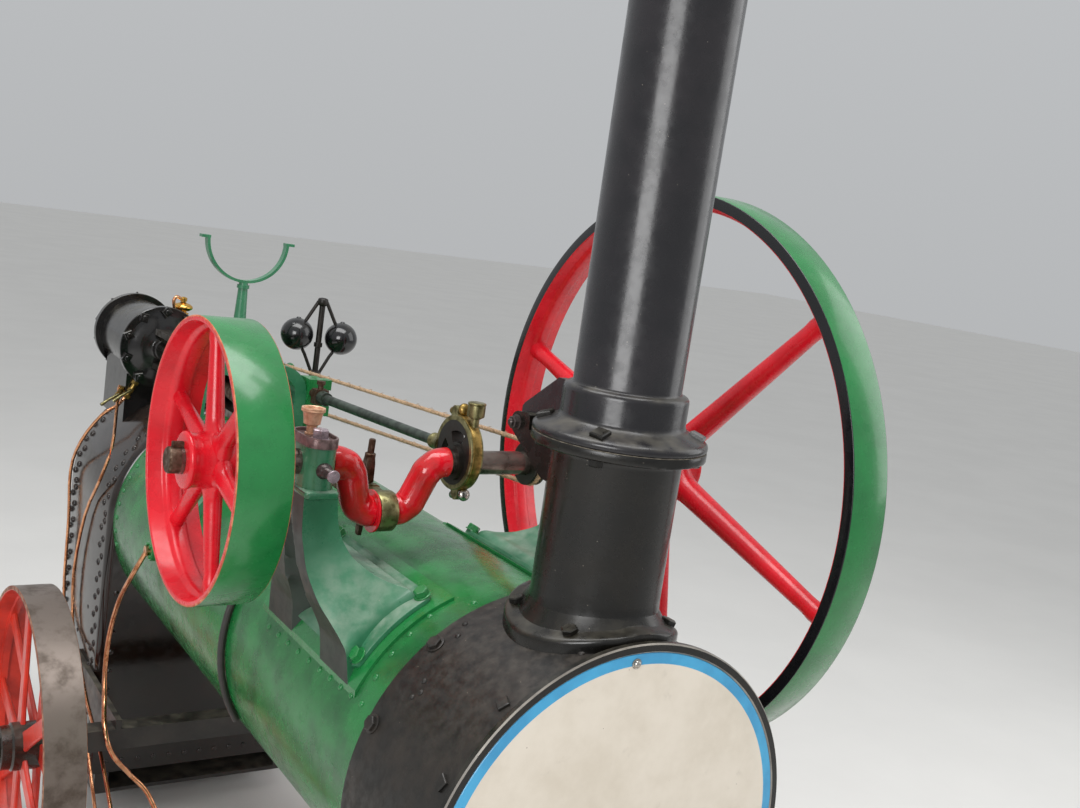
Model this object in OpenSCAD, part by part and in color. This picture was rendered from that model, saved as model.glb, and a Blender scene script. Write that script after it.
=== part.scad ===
// Portable steam engine: boiler on wheels, crankshaft over the smokebox, cylinder over the firebox.
// Sizes are in millimetres. X runs along the crankshaft, Y towards the firebox, Z up.

/* [Crankshaft] */
// Height of the crankshaft above the ground
crank_z = 1445; // [1420:5:1480]
// Diameter of the crankshaft
shaft_d = 49; // [45:1:52]
// Diameter of the turned ends of the crankshaft
end_d = 48; // [44:1:48]
// Length of the turned ends of the crankshaft
end_len = 20; // [16:1:20]
// Reach of the crankshaft past its middle on the left
shaft_left = 600; // [595:1:615]
// Reach of the crankshaft past its middle on the right
shaft_right = 600; // [595:1:615]
// Distance of the crank from the middle of the engine
crank_off = 162; // [157:1:167]
// Throw of the crank
crank_throw = 106; // [100:1:112]
// Diameter of the bent crank arms
arm_d = 61; // [56:1:64]
// Radius of each bend of the crank arms, on the centre line
arm_bend = 42; // [40:1:44]
// Turn of each bend of the crank arms, in degrees
arm_turn = 72; // [68:1:76]
// Length of the crankpin between the bends
pin_len = 48; // [44:1:52]
// Diameter of the crankpin
pin_d = 53; // [50:1:55]
// Backward lean of the crank from straight down, in degrees
crank_lean = 10; // [4:1:14]

/* [Flywheels] */
// Radius of the large flywheel
big_r = 610; // [590:2:620]
// Width of the large flywheel's rim
big_w = 93; // [80:1:100]
// Distance of the large flywheel from the middle of the engine
big_x = 514.5; // [505:0.5:525]
// Thickness of the large flywheel's rim
big_rim = 25; // [20:1:30]
// Radius of the large flywheel's hub
big_hub_r = 76; // [68:1:85]
// Length of the large flywheel's hub
big_hub_w = 128; // [110:2:136]
// Radius of the small flywheel
small_r = 257; // [245:1:265]
// Width of the small flywheel's rim
small_w = 98; // [90:1:102]
// Distance of the small flywheel from the middle of the engine
small_x = 515; // [508:0.5:520]
// Thickness of the small flywheel's rim
small_rim = 10; // [8:1:14]
// Radius of the small flywheel's hub
small_hub_r = 52; // [46:1:58]
// Length of the small flywheel's hub
small_hub_w = 116; // [100:2:120]
// Height of the rib inside each flywheel's rim
rim_rib = 10; // [8:1:14]
// Number of spokes in each flywheel
spokes = 6; // [4:1:8]
// Angle of the first spoke above the firebox side, in degrees
spoke_turn = 17; // [0:1:30]

/* [Boiler] */
// Outer radius of the boiler barrel
barrel_r = 323; // [315:1:330]
// Depth of the boiler's axis below the crankshaft
boiler_drop = 504; // [496:1:515]
// Outer radius of the smokebox
smokebox_r = 355; // [348:1:360]
// Distance of the smokebox's back edge ahead of the crankshaft
smokebox_back = 345; // [335:1:355]
// Length of the smokebox
smokebox_len = 290; // [280:1:300]
// Thickness of the disc that closes the smokebox
disc_t = 11; // [8:1:11]
// Width of the angle ring around the disc
ring_w = 16; // [12:1:20]
// Length of the angle ring along the boiler
ring_len = 12; // [12:1:20]
// Distance of the firebox's front plate behind the crankshaft
firebox_front = 1335; // [1325:1:1350]
// Length of the firebox
firebox_len = 498; // [480:1:515]
// Half width of the firebox
firebox_r = 335; // [330:1:340]
// Height of the firebox's lower edge above the ground
firebox_bottom = 155; // [145:1:170]
// Height of the ash pan
ashpan_h = 80; // [60:1:90]
// Radius of the fire door
door_r = 150; // [140:2:160]
// Height of the fire door's middle above the firebox's lower edge
door_up = 330; // [310:5:350]
// Thickness of the riveted plates
plate_t = 6; // [5:1:8]

/* [Chimney] */
// Outer radius of the chimney base
base_r = 111; // [107:1:114]
// Thickness of the chimney base's wall
base_wall = 17; // [12:1:20]
// Radius of the foot that sits on the smokebox
foot_r = 150; // [144:1:154]
// Thickness of the foot
foot_t = 22; // [18:1:24]
// Height of the chimney joint above the crankshaft
joint_z = 165; // [155:1:175]
// Radius of the two flanges at the chimney joint
flange_r = 148; // [143:1:150]
// Thickness of each flange
flange_t = 17; // [14:1:20]
// Radius of the collar above the joint
collar_r = 106; // [103:1:110]
// Height of the collar
collar_h = 68; // [62:1:74]
// Height of the slope between the upper flange and the collar
slope_h = 14; // [10:1:18]
// Outer radius of the chimney pipe at its foot
stack_r0 = 91; // [89:1:93]
// Outer radius of the chimney pipe at its top
stack_r1 = 96; // [94:1:98]
// Radius of the flue inside the chimney pipe
flue_r = 85; // [80:1:87]
// Length of the chimney above the joint
stack_len = 1845; // [1780:5:1860]
// Radius of the rim at the chimney's top
crown_r = 122; // [112:1:126]
// Height of the rim at the chimney's top
crown_h = 84; // [70:1:95]
// Distance of the hinge behind the chimney's axis
hinge_back = 168; // [164:1:174]
// Depth of the hinge below the joint
hinge_below = 12; // [8:1:14]
// Distance of the hinge ears' outer faces from the middle
ear_x = 96; // [92:1:100]
// Thickness of each hinge ear
ear_t = 16; // [12:1:18]
// Radius of the round end of each ear
ear_r = 17; // [15:1:18]
// Diameter of the hinge bolt
hinge_d = 16; // [14:1:18]
// Angle through which the chimney folds back, in degrees
fold_angle = 90.5; // [90:0.1:91]

// Inner radius of the crutch that the folded chimney lies in
crutch_r = 115; // [110:1:120]
// Thickness of the crutch's band
band_t = 8; // [6:1:10]
// Width of the crutch's band
band_w = 26; // [20:1:30]

/* [Bearings] */
// Distance of each bearing's middle from the middle of the engine
bearing_x = 326; // [322:1:330]
// Width of each bearing along the shaft
bearing_w = 62; // [58:1:64]
// Half depth of each bearing head
head_d = 58; // [55:1:61]
// Height of the bearing head above the shaft's axis
head_up = 35; // [33:1:38]
// Depth of the ledge under the bearing head below the shaft's axis
head_down = 43; // [40:1:46]
// Thickness of the ledge
ledge_t = 15; // [12:1:18]
// Half length of each bracket's foot
foot_y = 208; // [202:1:214]
// Thickness of each bracket's foot
bracket_foot_t = 9; // [8:1:12]
// Distance of the foot's inner edge from the middle
foot_in = 152; // [148:1:156]
// Distance of the foot's outer edge from the middle
foot_out = 291; // [288:1:294]
// Half length of the plate under each foot
saddle_y = 232; // [226:1:238]
// Distance of the inner edge of that plate from the middle
saddle_in = 119; // [114:1:124]
// Distance of the outer edge of that plate from the middle
saddle_out = 297; // [295:1:300]
// Height of the steel cap on each bearing
cap_h = 19; // [16:1:22]
// Height of the oil cup above its seat
cup_h = 51; // [46:1:56]
// Length of the stud in front of each bearing
stud_len = 44; // [38:1:50]

/* [Cylinder] */
// Distance of the cylinder's front cover behind the crankshaft
cyl_front = 1590; // [1580:1:1600]
// Length of the cylinder casting
cyl_len = 285; // [275:1:295]
// Outer radius of the cylinder casting
cyl_r = 108; // [100:1:112]
// Radius of the cylinder covers
cover_r = 126; // [120:1:130]
// Thickness of each cylinder cover
cover_t = 24; // [20:1:28]
// Depth of the cylinder's axis below the crankshaft
cyl_drop = 40; // [35:1:45]
// Width of the block under the cylinder
block_w = 176; // [160:2:190]
// Length of the connecting rod
rod_len = 1000; // [980:2:1020]
// Width of the connecting rod's eye at the crosshead
eye_w = 26; // [22:1:30]
// Distance of the big end's cotter behind the crankpin
cotter_y = 80; // [76:1:84]
// Depth of the big end's cotter below the rod
cotter_down = 80; // [60:1:82]
// Diameter of the piston rod
piston_rod_d = 30; // [28:1:34]
// Half distance between the slide bars
bar_gap = 42; // [40:1:46]
// Thickness of each slide bar
bar_t = 18; // [16:1:20]
// Width of each slide bar
bar_w = 60; // [50:2:64]
// Distance of the motion bracket ahead of the crosshead
motion_out = 228; // [212:2:242]
// Thickness of the motion bracket along the boiler
motion_t = 34; // [28:1:40]
// Half width of the motion bracket's arch
arch_r = 145; // [138:1:145]
// Thickness of the arch
arch_t = 30; // [24:1:32]

/* [Valve gear] */
// Distance of the eccentric from the middle of the engine, towards the crank
ecc_off = 5; // [2:1:5]
// Width of the eccentric strap
ecc_w = 28; // [24:1:30]
// Outer radius of the eccentric strap
strap_r = 78; // [76:1:81]
// Outer radius of the eccentric sheave
sheave_r = 66; // [64:1:68]
// Offset of the eccentric's middle from the shaft's axis
ecc_throw = 23; // [20:1:25]
// Lean of the strap's lugs towards the firebox, in degrees
lug_lean = 14; // [10:1:18]
// Distance of the strap's oil cup ahead of its middle
cup_y = 44; // [40:1:48]
// Direction of the eccentric's offset above the firebox side, in degrees
ecc_turn = 50; // [40:1:60]
// Distance of the valve rod's knuckle behind the crankshaft
knuckle_y = 716; // [706:1:726]
// Depth of the valve rod below the crankshaft
valve_drop = 12; // [8:1:16]
// Width of the valve rod's guide
guide_w = 40; // [36:1:44]
// Diameter of the valve rod
valve_rod_d = 22; // [20:1:24]
// Distance of the valve chest's front face behind the crankshaft
chest_front = 1345; // [1340:1:1352]
// Length of the valve chest
chest_len = 420; // [400:5:440]
// Distance of the safety valve from the middle of the engine
valve_x = 168; // [160:1:176]
// Height of the valve chest's top above the crankshaft
chest_top = 40; // [34:1:46]

/* [Pipes] */
// Radius of the two drain pipes
drain_r = 5; // [4:0.5:6]
// Radius of the feed pipe
feed_r = 6.5; // [5:0.5:7]
// Distance of the feed pipe's flange behind the crankshaft
feed_y = 941; // [930:1:950]
// Distance of the side pipe behind the crankshaft
side_y = 355; // [340:1:370]
// Radius of the side pipe
side_r = 8; // [6:1:9]

/* [Governor] */
// Distance of the rope pulleys from the middle of the engine
rope_x = 163; // [160:1:170]
// Groove radius of the pulley on the crankshaft
drive_r = 43; // [40:1:46]
// Groove radius of the governor's pulley
driven_r = 53; // [50:1:56]
// Distance of the governor behind the crankshaft
governor_y = 1385; // [1375:1:1395]
// Depth of the governor's pulley below the crankshaft
governor_drop = 96; // [90:1:102]
// Distance of the governor's spindle from the middle of the engine
spindle_x = 258; // [250:1:264]
// Radius of each governor ball
ball_r = 50; // [46:1:52]
// Distance of each ball from the spindle
ball_out = 67; // [62:1:70]
// Radius of the driving rope
rope_r = 5.5; // [4:0.5:6]

/* [Wheels] */
// Radius of each hind wheel
hind_r = 415; // [405:1:425]
// Width of each hind wheel's tyre
hind_w = 98; // [85:1:100]
// Distance of each hind wheel's outer face from the middle
hind_x = 610; // [605:1:615]
// Distance of the hind axle behind the crankshaft
hind_y = 1050; // [1040:1:1060]
// Radius of each front wheel
front_r = 300; // [290:1:310]
// Width of each front wheel's tyre
front_w = 88; // [80:1:92]
// Distance of each front wheel's outer face from the middle
front_x = 500; // [495:1:505]
// Thickness of each tyre
tyre_t = 12; // [10:1:14]
// Number of spokes in each road wheel
road_spokes = 10; // [8:1:12]
// Thickness of the flat spokes
spoke_t = 12; // [10:1:14]
// Width of the flat spokes
spoke_b = 46; // [38:1:50]
// Diameter of the axles' journals
journal_d = 50; // [46:1:54]
// Width of the square axles
axle_b = 58; // [54:1:62]
// Thickness of the plates that hold the hind axle
axle_plate = 16; // [12:1:20]
// Reach of the tow eye ahead of the front axle
tow_reach = 400; // [390:1:410]
// Diameter of the hole in the tow eye
tow_d = 34; // [30:1:38]

/* [Fits] */
// Gap between pieces that sit on each other
gap = 0.3; // [0.2:0.05:0.4]
// Radial clearance of turning pieces
run = 0.05; // [0.03:0.01:0.1]
// Side gap between the hub of a road wheel and its shoulder
hub_gap = 5; // [5:0.5:8]
// Gap under the folded chimney in its crutch
rest_gap = 5; // [5:0.5:8]

/* [Hidden] */
$fn = 64;
ground = -crank_z;
boiler_z = -boiler_drop;
smokebox_y1 = -smokebox_back;
smokebox_y0 = smokebox_y1 - smokebox_len;
firebox_y1 = firebox_front + firebox_len;
firebox_z0 = ground + firebox_bottom;
chimney_y = (smokebox_y0 + smokebox_y1) / 2;
stack_top = joint_z + stack_len;
hinge_y = chimney_y + hinge_back;
hinge_z = joint_z - hinge_below;
crank_x = -crank_off;
ecc_x = -ecc_off;
// Straight stretch of each crank arm, and the crank's half length
arm_run = (crank_throw - 2 * arm_bend * (1 - cos(arm_turn))) / sin(arm_turn);
crank_half = pin_len / 2 + 2 * arm_bend * sin(arm_turn) + arm_run * cos(arm_turn);
bearing_in = bearing_x - bearing_w / 2;
bearing_out = bearing_x + bearing_w / 2;
foot_seat = barrel_r + plate_t + gap;
// Rows down a bracket's column: how far its inner and outer front edges lie towards the middle from the
// bearing's faces, how deep they stand, and how far they lie below the ledge's upper face
column = [[1, -3, -1, -2, 2, 2], [8, -1, 0, 2, 56, 72], [17, 3, 4, 10, 87, 108], [25, 8, 12, 22, 105, 143],
    [35, 16, 26, 39, 122, 172], [52, 25, 46, 62, 136, 199], [70, 37, 66, 90, 147, 223],
    [93, 48, 92, 116, 154, 247], [117, 55, 120, 134, 160, 272], [142, 62, 138, 144, 196, 345]];
pin_y = crank_throw * sin(crank_lean);
pin_z = -crank_throw * cos(crank_lean);
axis_z = -cyl_drop;
rod_rise = asin((axis_z - pin_z) / rod_len);
head_y = pin_y + rod_len * cos(rod_rise);
motion_y = head_y - motion_out;
front_y = chimney_y;
hind_z = ground + hind_r;
front_z = ground + front_r;
cyl_back = cyl_front + cyl_len;
hub_out = hind_x + 28;
hub_in = hind_x - hind_w;
axle_end = hub_out + 16;
front_hub_out = front_x + 24;
front_hub_in = front_x - front_w - 10;
tow_y = front_y - tow_reach;
tow_end = 30;
crutch_y = chest_front + 36;
// Distance along the folded chimney from the hinge to the crutch
rest_s = crutch_y - hinge_y;
rest_r = stack_r0 + (stack_r1 - stack_r0) * rest_s / stack_len;
rest_z = hinge_z + hinge_back * sin(fold_angle) + rest_s * cos(fold_angle) - rest_r - rest_gap;
rear_end = cyl_back + gap + cover_t + 15;
fore_end = tow_y - tow_end;
crank_y = -(rear_end + fore_end) / 2;

enamel_green = "#1f7a3f";
signal_red = "#d81428";
gloss_black = "#17171a";
steel = "#7d7870";
brass = "#a8842f";
copper = "#c27a4a";

// Moves the crankshaft's frame to the part's frame
module place() { translate([0, crank_y, crank_z]) children(); }

// Extrudes an outline drawn in Y and Z from x0 to x1
module across(x0, x1) { translate([x0, 0, 0]) rotate([90, 0, 90]) linear_extrude(x1 - x0) children(); }

// Extrudes an outline drawn in X and Z from y0 to y1
module along(y0, y1) { translate([0, y1, 0]) rotate([90, 0, 0]) linear_extrude(y1 - y0) children(); }

// Straight round bar between two points
module bar(p, q, r0, r1) {
    d = q - p;
    translate(p) rotate([0, acos(d[2] / norm(d)), atan2(d[1], d[0])])
        cylinder(r1 = r0, r2 = r1, h = norm(d));
}

// Points of a smooth curve through the given ones, with the given number of steps between two
function smooth(p, steps) = [for (i = [0:len(p) - 2])
    let (a = p[max(i - 1, 0)], b = p[i], c = p[i + 1], d = p[min(i + 2, len(p) - 1)])
    for (k = [0:steps - (i == len(p) - 2 ? 0 : 1)]) let (t = k / steps)
        (2 * b + (c - a) * t + (2 * a - 5 * b + 4 * c - d) * t * t + (3 * b - a - 3 * c + d) * t * t * t) / 2];

function unit(v) = v / norm(v);

// Heading of a path at one of its points; a closed path joins up with its start
function heading(p, i, closed) = let (n = len(p))
    unit(p[closed ? (i + 1) % n : min(i + 1, n - 1)] - p[closed ? (i + n - 1) % n : max(i - 1, 0)]);

// Round tube along a path, as one solid; side is a direction that the path never follows
module tube(p, r, side, closed = false, sides = 12) {
    n = len(p);
    rings = [for (i = [0:n - 1]) let (h = heading(p, i, closed), u = unit(cross(h, side)), v = cross(h, u))
        for (k = [0:sides - 1]) p[i] + r * (cos(360 * k / sides) * u + sin(360 * k / sides) * v)];
    walls = [for (i = [0:n - (closed ? 1 : 2)]) for (k = [0:sides - 1]) let (j = (i + 1) % n, m = (k + 1) % sides)
        [i * sides + k, j * sides + k, j * sides + m, i * sides + m]];
    ends = closed ? [] : [[for (k = [0:sides - 1]) k], [for (k = [sides - 1:-1:0]) (n - 1) * sides + k]];
    polyhedron(rings, concat(walls, ends));
}

// Round bar along X
module shaft(x0, x1, r) { translate([x0, 0, 0]) rotate([0, 90, 0]) cylinder(r = r, h = x1 - x0); }

// Cylinder around the boiler's axis
module boiler_round(y0, y1, r) { translate([0, y1, boiler_z]) rotate([90, 0, 0]) cylinder(r = r, h = y1 - y0, $fn = 128); }

module mirror_x() { children(); mirror([1, 0, 0]) children(); }

module barrel() {
    color(enamel_green) boiler_round(smokebox_y1, firebox_front, barrel_r);
}

module saddle_plates() {
    color(enamel_green) mirror_x() intersection() {
        difference() {
            boiler_round(-saddle_y, saddle_y, barrel_r + plate_t);
            boiler_round(-saddle_y - 1, saddle_y + 1, barrel_r + gap);
        }
        translate([-saddle_out, -saddle_y, boiler_z + 100]) cube([saddle_out - saddle_in, 2 * saddle_y, barrel_r]);
    }
}

module smokebox() {
    color(gloss_black) difference() {
        boiler_round(smokebox_y0, smokebox_y1, smokebox_r);
        translate([0, chimney_y, boiler_z + smokebox_r - 130]) cylinder(r = base_r - base_wall, h = 140);
    }
}

module smokebox_ring() {
    color(gloss_black) difference() {
        boiler_round(smokebox_y0 - ring_len, smokebox_y0, smokebox_r + ring_w - 4);
        boiler_round(smokebox_y0 - ring_len - 1, smokebox_y0 + 1, smokebox_r - 4);
    }
}

module smokebox_disc() {
    color("#e8dccb") boiler_round(smokebox_y0 - disc_t, smokebox_y0, smokebox_r - 4 - gap);
}

// Side outline of a hinge ear, with its round end at the hinge
module ear_outline(low_y, low_z, top_z, r) {
    translate([hinge_y, hinge_z]) circle(r = r);
    polygon([[hinge_y, hinge_z + (top_z > hinge_z ? 0 : r)], [low_y, top_z], [low_y, low_z],
        [hinge_y + r * cos(30), hinge_z - r * sin(30)]]);
}

module chimney_base() {
    color(gloss_black) difference() {
        union() {
            translate([0, chimney_y, boiler_z + smokebox_r - 40])
                cylinder(r = base_r, h = joint_z - flange_t / 2 - boiler_z - smokebox_r + 40);
            translate([0, chimney_y, joint_z - flange_t]) cylinder(r = flange_r, h = flange_t);
            intersection() {
                boiler_round(smokebox_y0 + 1, chimney_y + foot_r, smokebox_r + foot_t);
                translate([0, chimney_y, boiler_z]) cylinder(r = foot_r, h = smokebox_r + 40);
            }
            translate([0, chimney_y, boiler_z + smokebox_r + foot_t / 2])
                cylinder(r1 = base_r + 16, r2 = base_r, h = 22);
            mirror_x() across(-ear_x, -ear_x + ear_t) ear_outline(chimney_y + 54, joint_z - 97, joint_z - flange_t, ear_r);
        }
        translate([0, chimney_y, boiler_z]) cylinder(r = base_r - base_wall, h = 2 * boiler_drop);
        boiler_round(chimney_y - 2 * foot_r, chimney_y + 2 * foot_r, smokebox_r + gap);
        translate([0, hinge_y, hinge_z]) shaft(-ear_x - 1, ear_x + 1, hinge_d / 2 + run);
        // Room in the ears for the flange and lugs that swing past them
        translate([0, chimney_y, joint_z]) cylinder(r = flange_r + 3, h = 60);
    }
}

module hinge_bolt() {
    color(steel) translate([0, hinge_y, hinge_z]) {
        shaft(-ear_x - gap, ear_x + gap, hinge_d / 2);
        shaft(-ear_x - gap - 11, -ear_x - gap, 13);
        shaft(ear_x + gap, ear_x + gap + 11, 13);
    }
}

module chimney_stack() {
    lug_x1 = ear_x - ear_t - 1;
    foot = joint_z + gap;
    color(gloss_black) difference() {
        union() {
            translate([0, chimney_y, foot]) cylinder(r = flange_r, h = flange_t);
            translate([0, chimney_y, foot]) cylinder(r = collar_r, h = flange_t + collar_h);
            translate([0, chimney_y, foot + flange_t]) cylinder(r1 = flange_r - 8, r2 = collar_r + 2, h = slope_h);
            translate([0, chimney_y, foot]) cylinder(r1 = stack_r0, r2 = stack_r1, h = stack_len - gap);
            mirror_x() across(-lug_x1, -lug_x1 + ear_t) {
                translate([hinge_y, hinge_z]) circle(r = ear_r - 1);
                polygon([[hinge_y + ear_r - 2, hinge_z + 6], [chimney_y + collar_r - 42, foot + flange_t + collar_h - 9],
                    [chimney_y + collar_r - 42, foot + 1], [hinge_y - ear_r + 2, foot + 1], [hinge_y - 4, hinge_z]]);
            }
        }
        translate([0, chimney_y, joint_z - 40]) cylinder(r = flue_r, h = stack_len + 80);
        translate([0, hinge_y, hinge_z]) shaft(-ear_x, ear_x, hinge_d / 2 + run);
        // Room below the lugs for the flange under them
        translate([0, chimney_y, joint_z - 60]) cylinder(r = flange_r + 2, h = 60 + gap);
    }
}

module chimney_crown() {
    color(gloss_black) translate([0, chimney_y, stack_top - crown_h]) difference() {
        rotate_extrude() polygon([[0, 0], [stack_r1 + 8, 0], [stack_r1 + 8, 12], [stack_r1 + 4, 18],
            [stack_r1 + 8, crown_h - 38], [crown_r - 6, crown_h - 22], [crown_r, crown_h - 18],
            [crown_r, crown_h - 4], [crown_r - 4, crown_h], [0, crown_h]]);
        translate([0, 0, -1]) cylinder(r = stack_r1 + gap, h = crown_h + 2);
    }
}

// Upright prism with half round ends, around a bearing's middle
module half_round(z0, z1, r, depth) {
    for (s = [-1, 1]) translate([-bearing_x, s * (depth - r), z0]) cylinder(r = r, h = z1 - z0);
    translate([-bearing_x - r, -depth + r, z0]) cube([2 * r, 2 * depth - 2 * r, z1 - z0]);
}

// Column between a bracket's ledge and its foot, spreading to the foot's corners
module column_body() {
    n = 5;
    rows = [for (c = column) let (a = [-bearing_in + c[0], head_d + c[2], -head_down - c[4]],
        b = [-bearing_out + c[1], head_d + c[3], -head_down - c[5]])
        concat([for (k = [0:n - 1]) let (q = b + k / n * (a - b)) [q[0], -q[1], q[2]]],
            [for (k = [0:n - 1]) [a[0], (2 * k / n - 1) * a[1], a[2]]],
            [for (k = [0:n - 1]) a + k / n * (b - a)],
            [for (k = [0:n - 1]) [b[0], (1 - 2 * k / n) * b[1], b[2]]])];
    m = 4 * n;
    ends = [for (r = [rows[0], rows[len(rows) - 1]]) [(r[0][0] + r[n][0]) / 2, 0, (r[0][2] + r[n][2]) / 2]];
    points = concat([for (r = rows) for (q = r) q], ends);
    top = len(points) - 2;
    walls = [for (i = [0:len(rows) - 2]) for (k = [0:m - 1]) let (j = (k + 1) % m)
        each [[i * m + k, i * m + j, (i + 1) * m + j], [i * m + k, (i + 1) * m + j, (i + 1) * m + k]]];
    last = (len(rows) - 1) * m;
    lids = [for (k = [0:m - 1]) let (j = (k + 1) % m) each [[top, j, k], [top + 1, last + k, last + j]]];
    polyhedron(points, concat(walls, lids));
}

// Left bearing bracket; the right one mirrors it
module bracket() {
    low = boiler_z + 104;
    difference() {
        union() {
            difference() {
                column_body();
                // Hollow between the two outer legs
                bar([-foot_out - 20, 0, -head_down - 280], [-bearing_out - 8, 0, -head_down - 60], 62, 5);
            }
            intersection() {
                boiler_round(-foot_y, foot_y, foot_seat + bracket_foot_t);
                translate([-foot_out, -foot_y, low]) cube([foot_out - foot_in, 2 * foot_y, 400]);
            }
            half_round(-head_down - 1, head_up, bearing_w / 2, head_d);
            translate([-bearing_out - 3, -head_d - 6, -head_down - ledge_t])
                cube([bearing_w + 6, 2 * head_d + 12, ledge_t]);
            translate([-bearing_x, -head_d + 6, -5]) rotate([90, 0, 0]) cylinder(r = 15, h = 14);
            translate([-bearing_x, -head_d + 6, -5]) rotate([90, 0, 0]) cylinder(r = 10, h = stud_len + 6);
        }
        boiler_round(-foot_y - 30, foot_y + 30, foot_seat);
        shaft(-bearing_out - 40, -bearing_in + 40, shaft_d / 2 + run);
    }
}

module bearing_bracket_left() { color(enamel_green) bracket(); }
module bearing_bracket_right() { color(enamel_green) mirror([1, 0, 0]) bracket(); }

module bearing_caps() {
    color(steel) mirror_x() {
        difference() {
            half_round(head_up, head_up + cap_h, bearing_w / 2 + 1, head_d + 1);
            half_round(head_up + cap_h - 7, head_up + cap_h + 1, bearing_w / 2 - 3, head_d - 3);
        }
        translate([-bearing_x, -21, head_up + cap_h - 7]) cylinder(r = 16, h = 18, $fn = 6);
    }
}

module oil_cups() {
    color(brass) mirror_x() translate([-bearing_x, 24, head_up + cap_h - 7 + gap]) {
        cylinder(r = 10, h = cup_h / 2);
        translate([0, 0, cup_h / 3]) cylinder(r1 = 16, r2 = 19, h = cup_h / 2);
        translate([0, 0, cup_h - 8]) cylinder(r = 23, h = 8);
    }
}

// Half of the bent crank, from the shaft down to the crankpin
module crank_arm() {
    low = pin_len / 2 + arm_bend * sin(arm_turn);
    drop = crank_throw - arm_bend * (1 - cos(arm_turn));
    translate([-crank_half, 0, -arm_bend]) rotate([90, 0, 0]) rotate([0, 0, 90 - arm_turn])
        rotate_extrude(angle = arm_turn) translate([arm_bend, 0]) circle(d = arm_d);
    way = [cos(arm_turn), 0, -sin(arm_turn)];
    bar([-low, 0, -drop] - (arm_run + 2) * way, [-low, 0, -drop] + 2 * way, arm_d / 2 - gap, arm_d / 2 - gap);
    translate([-pin_len / 2, 0, -crank_throw + arm_bend]) rotate([90, 0, 0]) rotate([0, 0, 270 - arm_turn])
        rotate_extrude(angle = arm_turn) translate([arm_bend, 0]) circle(d = arm_d);
}

module crankshaft() {
    color(steel) union() {
        shaft(-shaft_left, -shaft_left + end_len + 1, end_d / 2);
        shaft(-shaft_left + end_len, crank_x - crank_half + 3, shaft_d / 2);
        shaft(crank_x + crank_half - 3, shaft_right - end_len, shaft_d / 2);
        shaft(shaft_right - end_len - 1, shaft_right, end_d / 2);
        translate([crank_x, 0, 0]) rotate([crank_lean, 0, 0]) {
            mirror_x() crank_arm();
            shaft(-bearing_in + 2 - crank_x, -crank_half + 2, arm_d / 2 - gap);
            translate([0, 0, -crank_throw]) shaft(-pin_len / 2 - 3, pin_len / 2 + 3, pin_d / 2);
        }
    }
}

// Cast flywheel around X, with round tapered spokes
module flywheel(r, w, rim, hub_r, hub_w, spoke0, spoke1) {
    root_r = hub_r - 12;
    difference() {
        union() {
            rotate([0, 90, 0]) rotate_extrude($fn = 128) polygon([[r, -w / 2], [r, w / 2], [r - rim, w / 2],
                [r - rim, w / 5], [r - rim - rim_rib, w / 5], [r - rim - rim_rib, -w / 5], [r - rim, -w / 5],
                [r - rim, -w / 2]]);
            for (i = [0:spokes - 1]) rotate([spoke_turn + i * 360 / spokes - 90, 0, 0]) translate([0, 0, root_r])
                cylinder(r1 = spoke0, r2 = spoke1, h = r - rim - rim_rib / 2 - root_r);
            shaft(-hub_w / 2, hub_w / 2, hub_r);
        }
        shaft(-hub_w, hub_w, shaft_d / 2 + run);
    }
}

module large_flywheel() {
    color(enamel_green) translate([big_x, 0, 0])
        flywheel(big_r, big_w, big_rim, big_hub_r, big_hub_w, 30, 19);
}

module small_flywheel() {
    color(enamel_green) translate([-small_x, 0, 0])
        flywheel(small_r, small_w, small_rim, small_hub_r, small_hub_w, 19, 13);
}

module connecting_rod() {
    w = pin_len / 2 - 2;
    color(steel) translate([crank_x, pin_y, pin_z]) rotate([rod_rise, 0, 0]) difference() {
        union() {
            shaft(-w, w, pin_d / 2 + 14);
            translate([-w, 0, -pin_d / 2 - 6]) cube([2 * w, 132, pin_d + 12]);
            translate([-6, cotter_y - 13, -cotter_down]) cube([12, 26, cotter_down + 86]);
            translate([0, cotter_y, 80]) cylinder(r = 9, h = 44);
            translate([0, 120, 0]) rotate([-90, 0, 0]) cylinder(r1 = 22, r2 = 18, h = rod_len - 200);
            translate([-eye_w / 2, rod_len - 90, -17]) cube([eye_w, 90, 34]);
            translate([0, rod_len, 0]) shaft(-eye_w / 2, eye_w / 2, 30);
        }
        shaft(-w - 1, w + 1, pin_d / 2 + run);
        translate([0, rod_len, 0]) shaft(-20, 20, 13 + run);
    }
}

module crosshead() {
    color(steel) translate([crank_x, head_y, axis_z]) union() {
        difference() {
            translate([-32, -60, -bar_gap + gap]) cube([64, 120, 2 * bar_gap - 2 * gap]);
            translate([-eye_w / 2 - 1, -61, -bar_gap]) cube([eye_w + 2, 97, 2 * bar_gap]);
        }
        shaft(-32, 32, 13);
        translate([0, 58, 0]) rotate([-90, 0, 0]) cylinder(d = piston_rod_d, h = cyl_front - head_y - 58);
    }
}

module slide_bars() {
    y1 = cyl_front - cover_t - gap;
    color(steel) for (z = [bar_gap, -bar_gap - bar_t])
        translate([crank_x - bar_w / 2, motion_y, axis_z + z]) cube([bar_w, y1 - motion_y, bar_t]);
}

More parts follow.
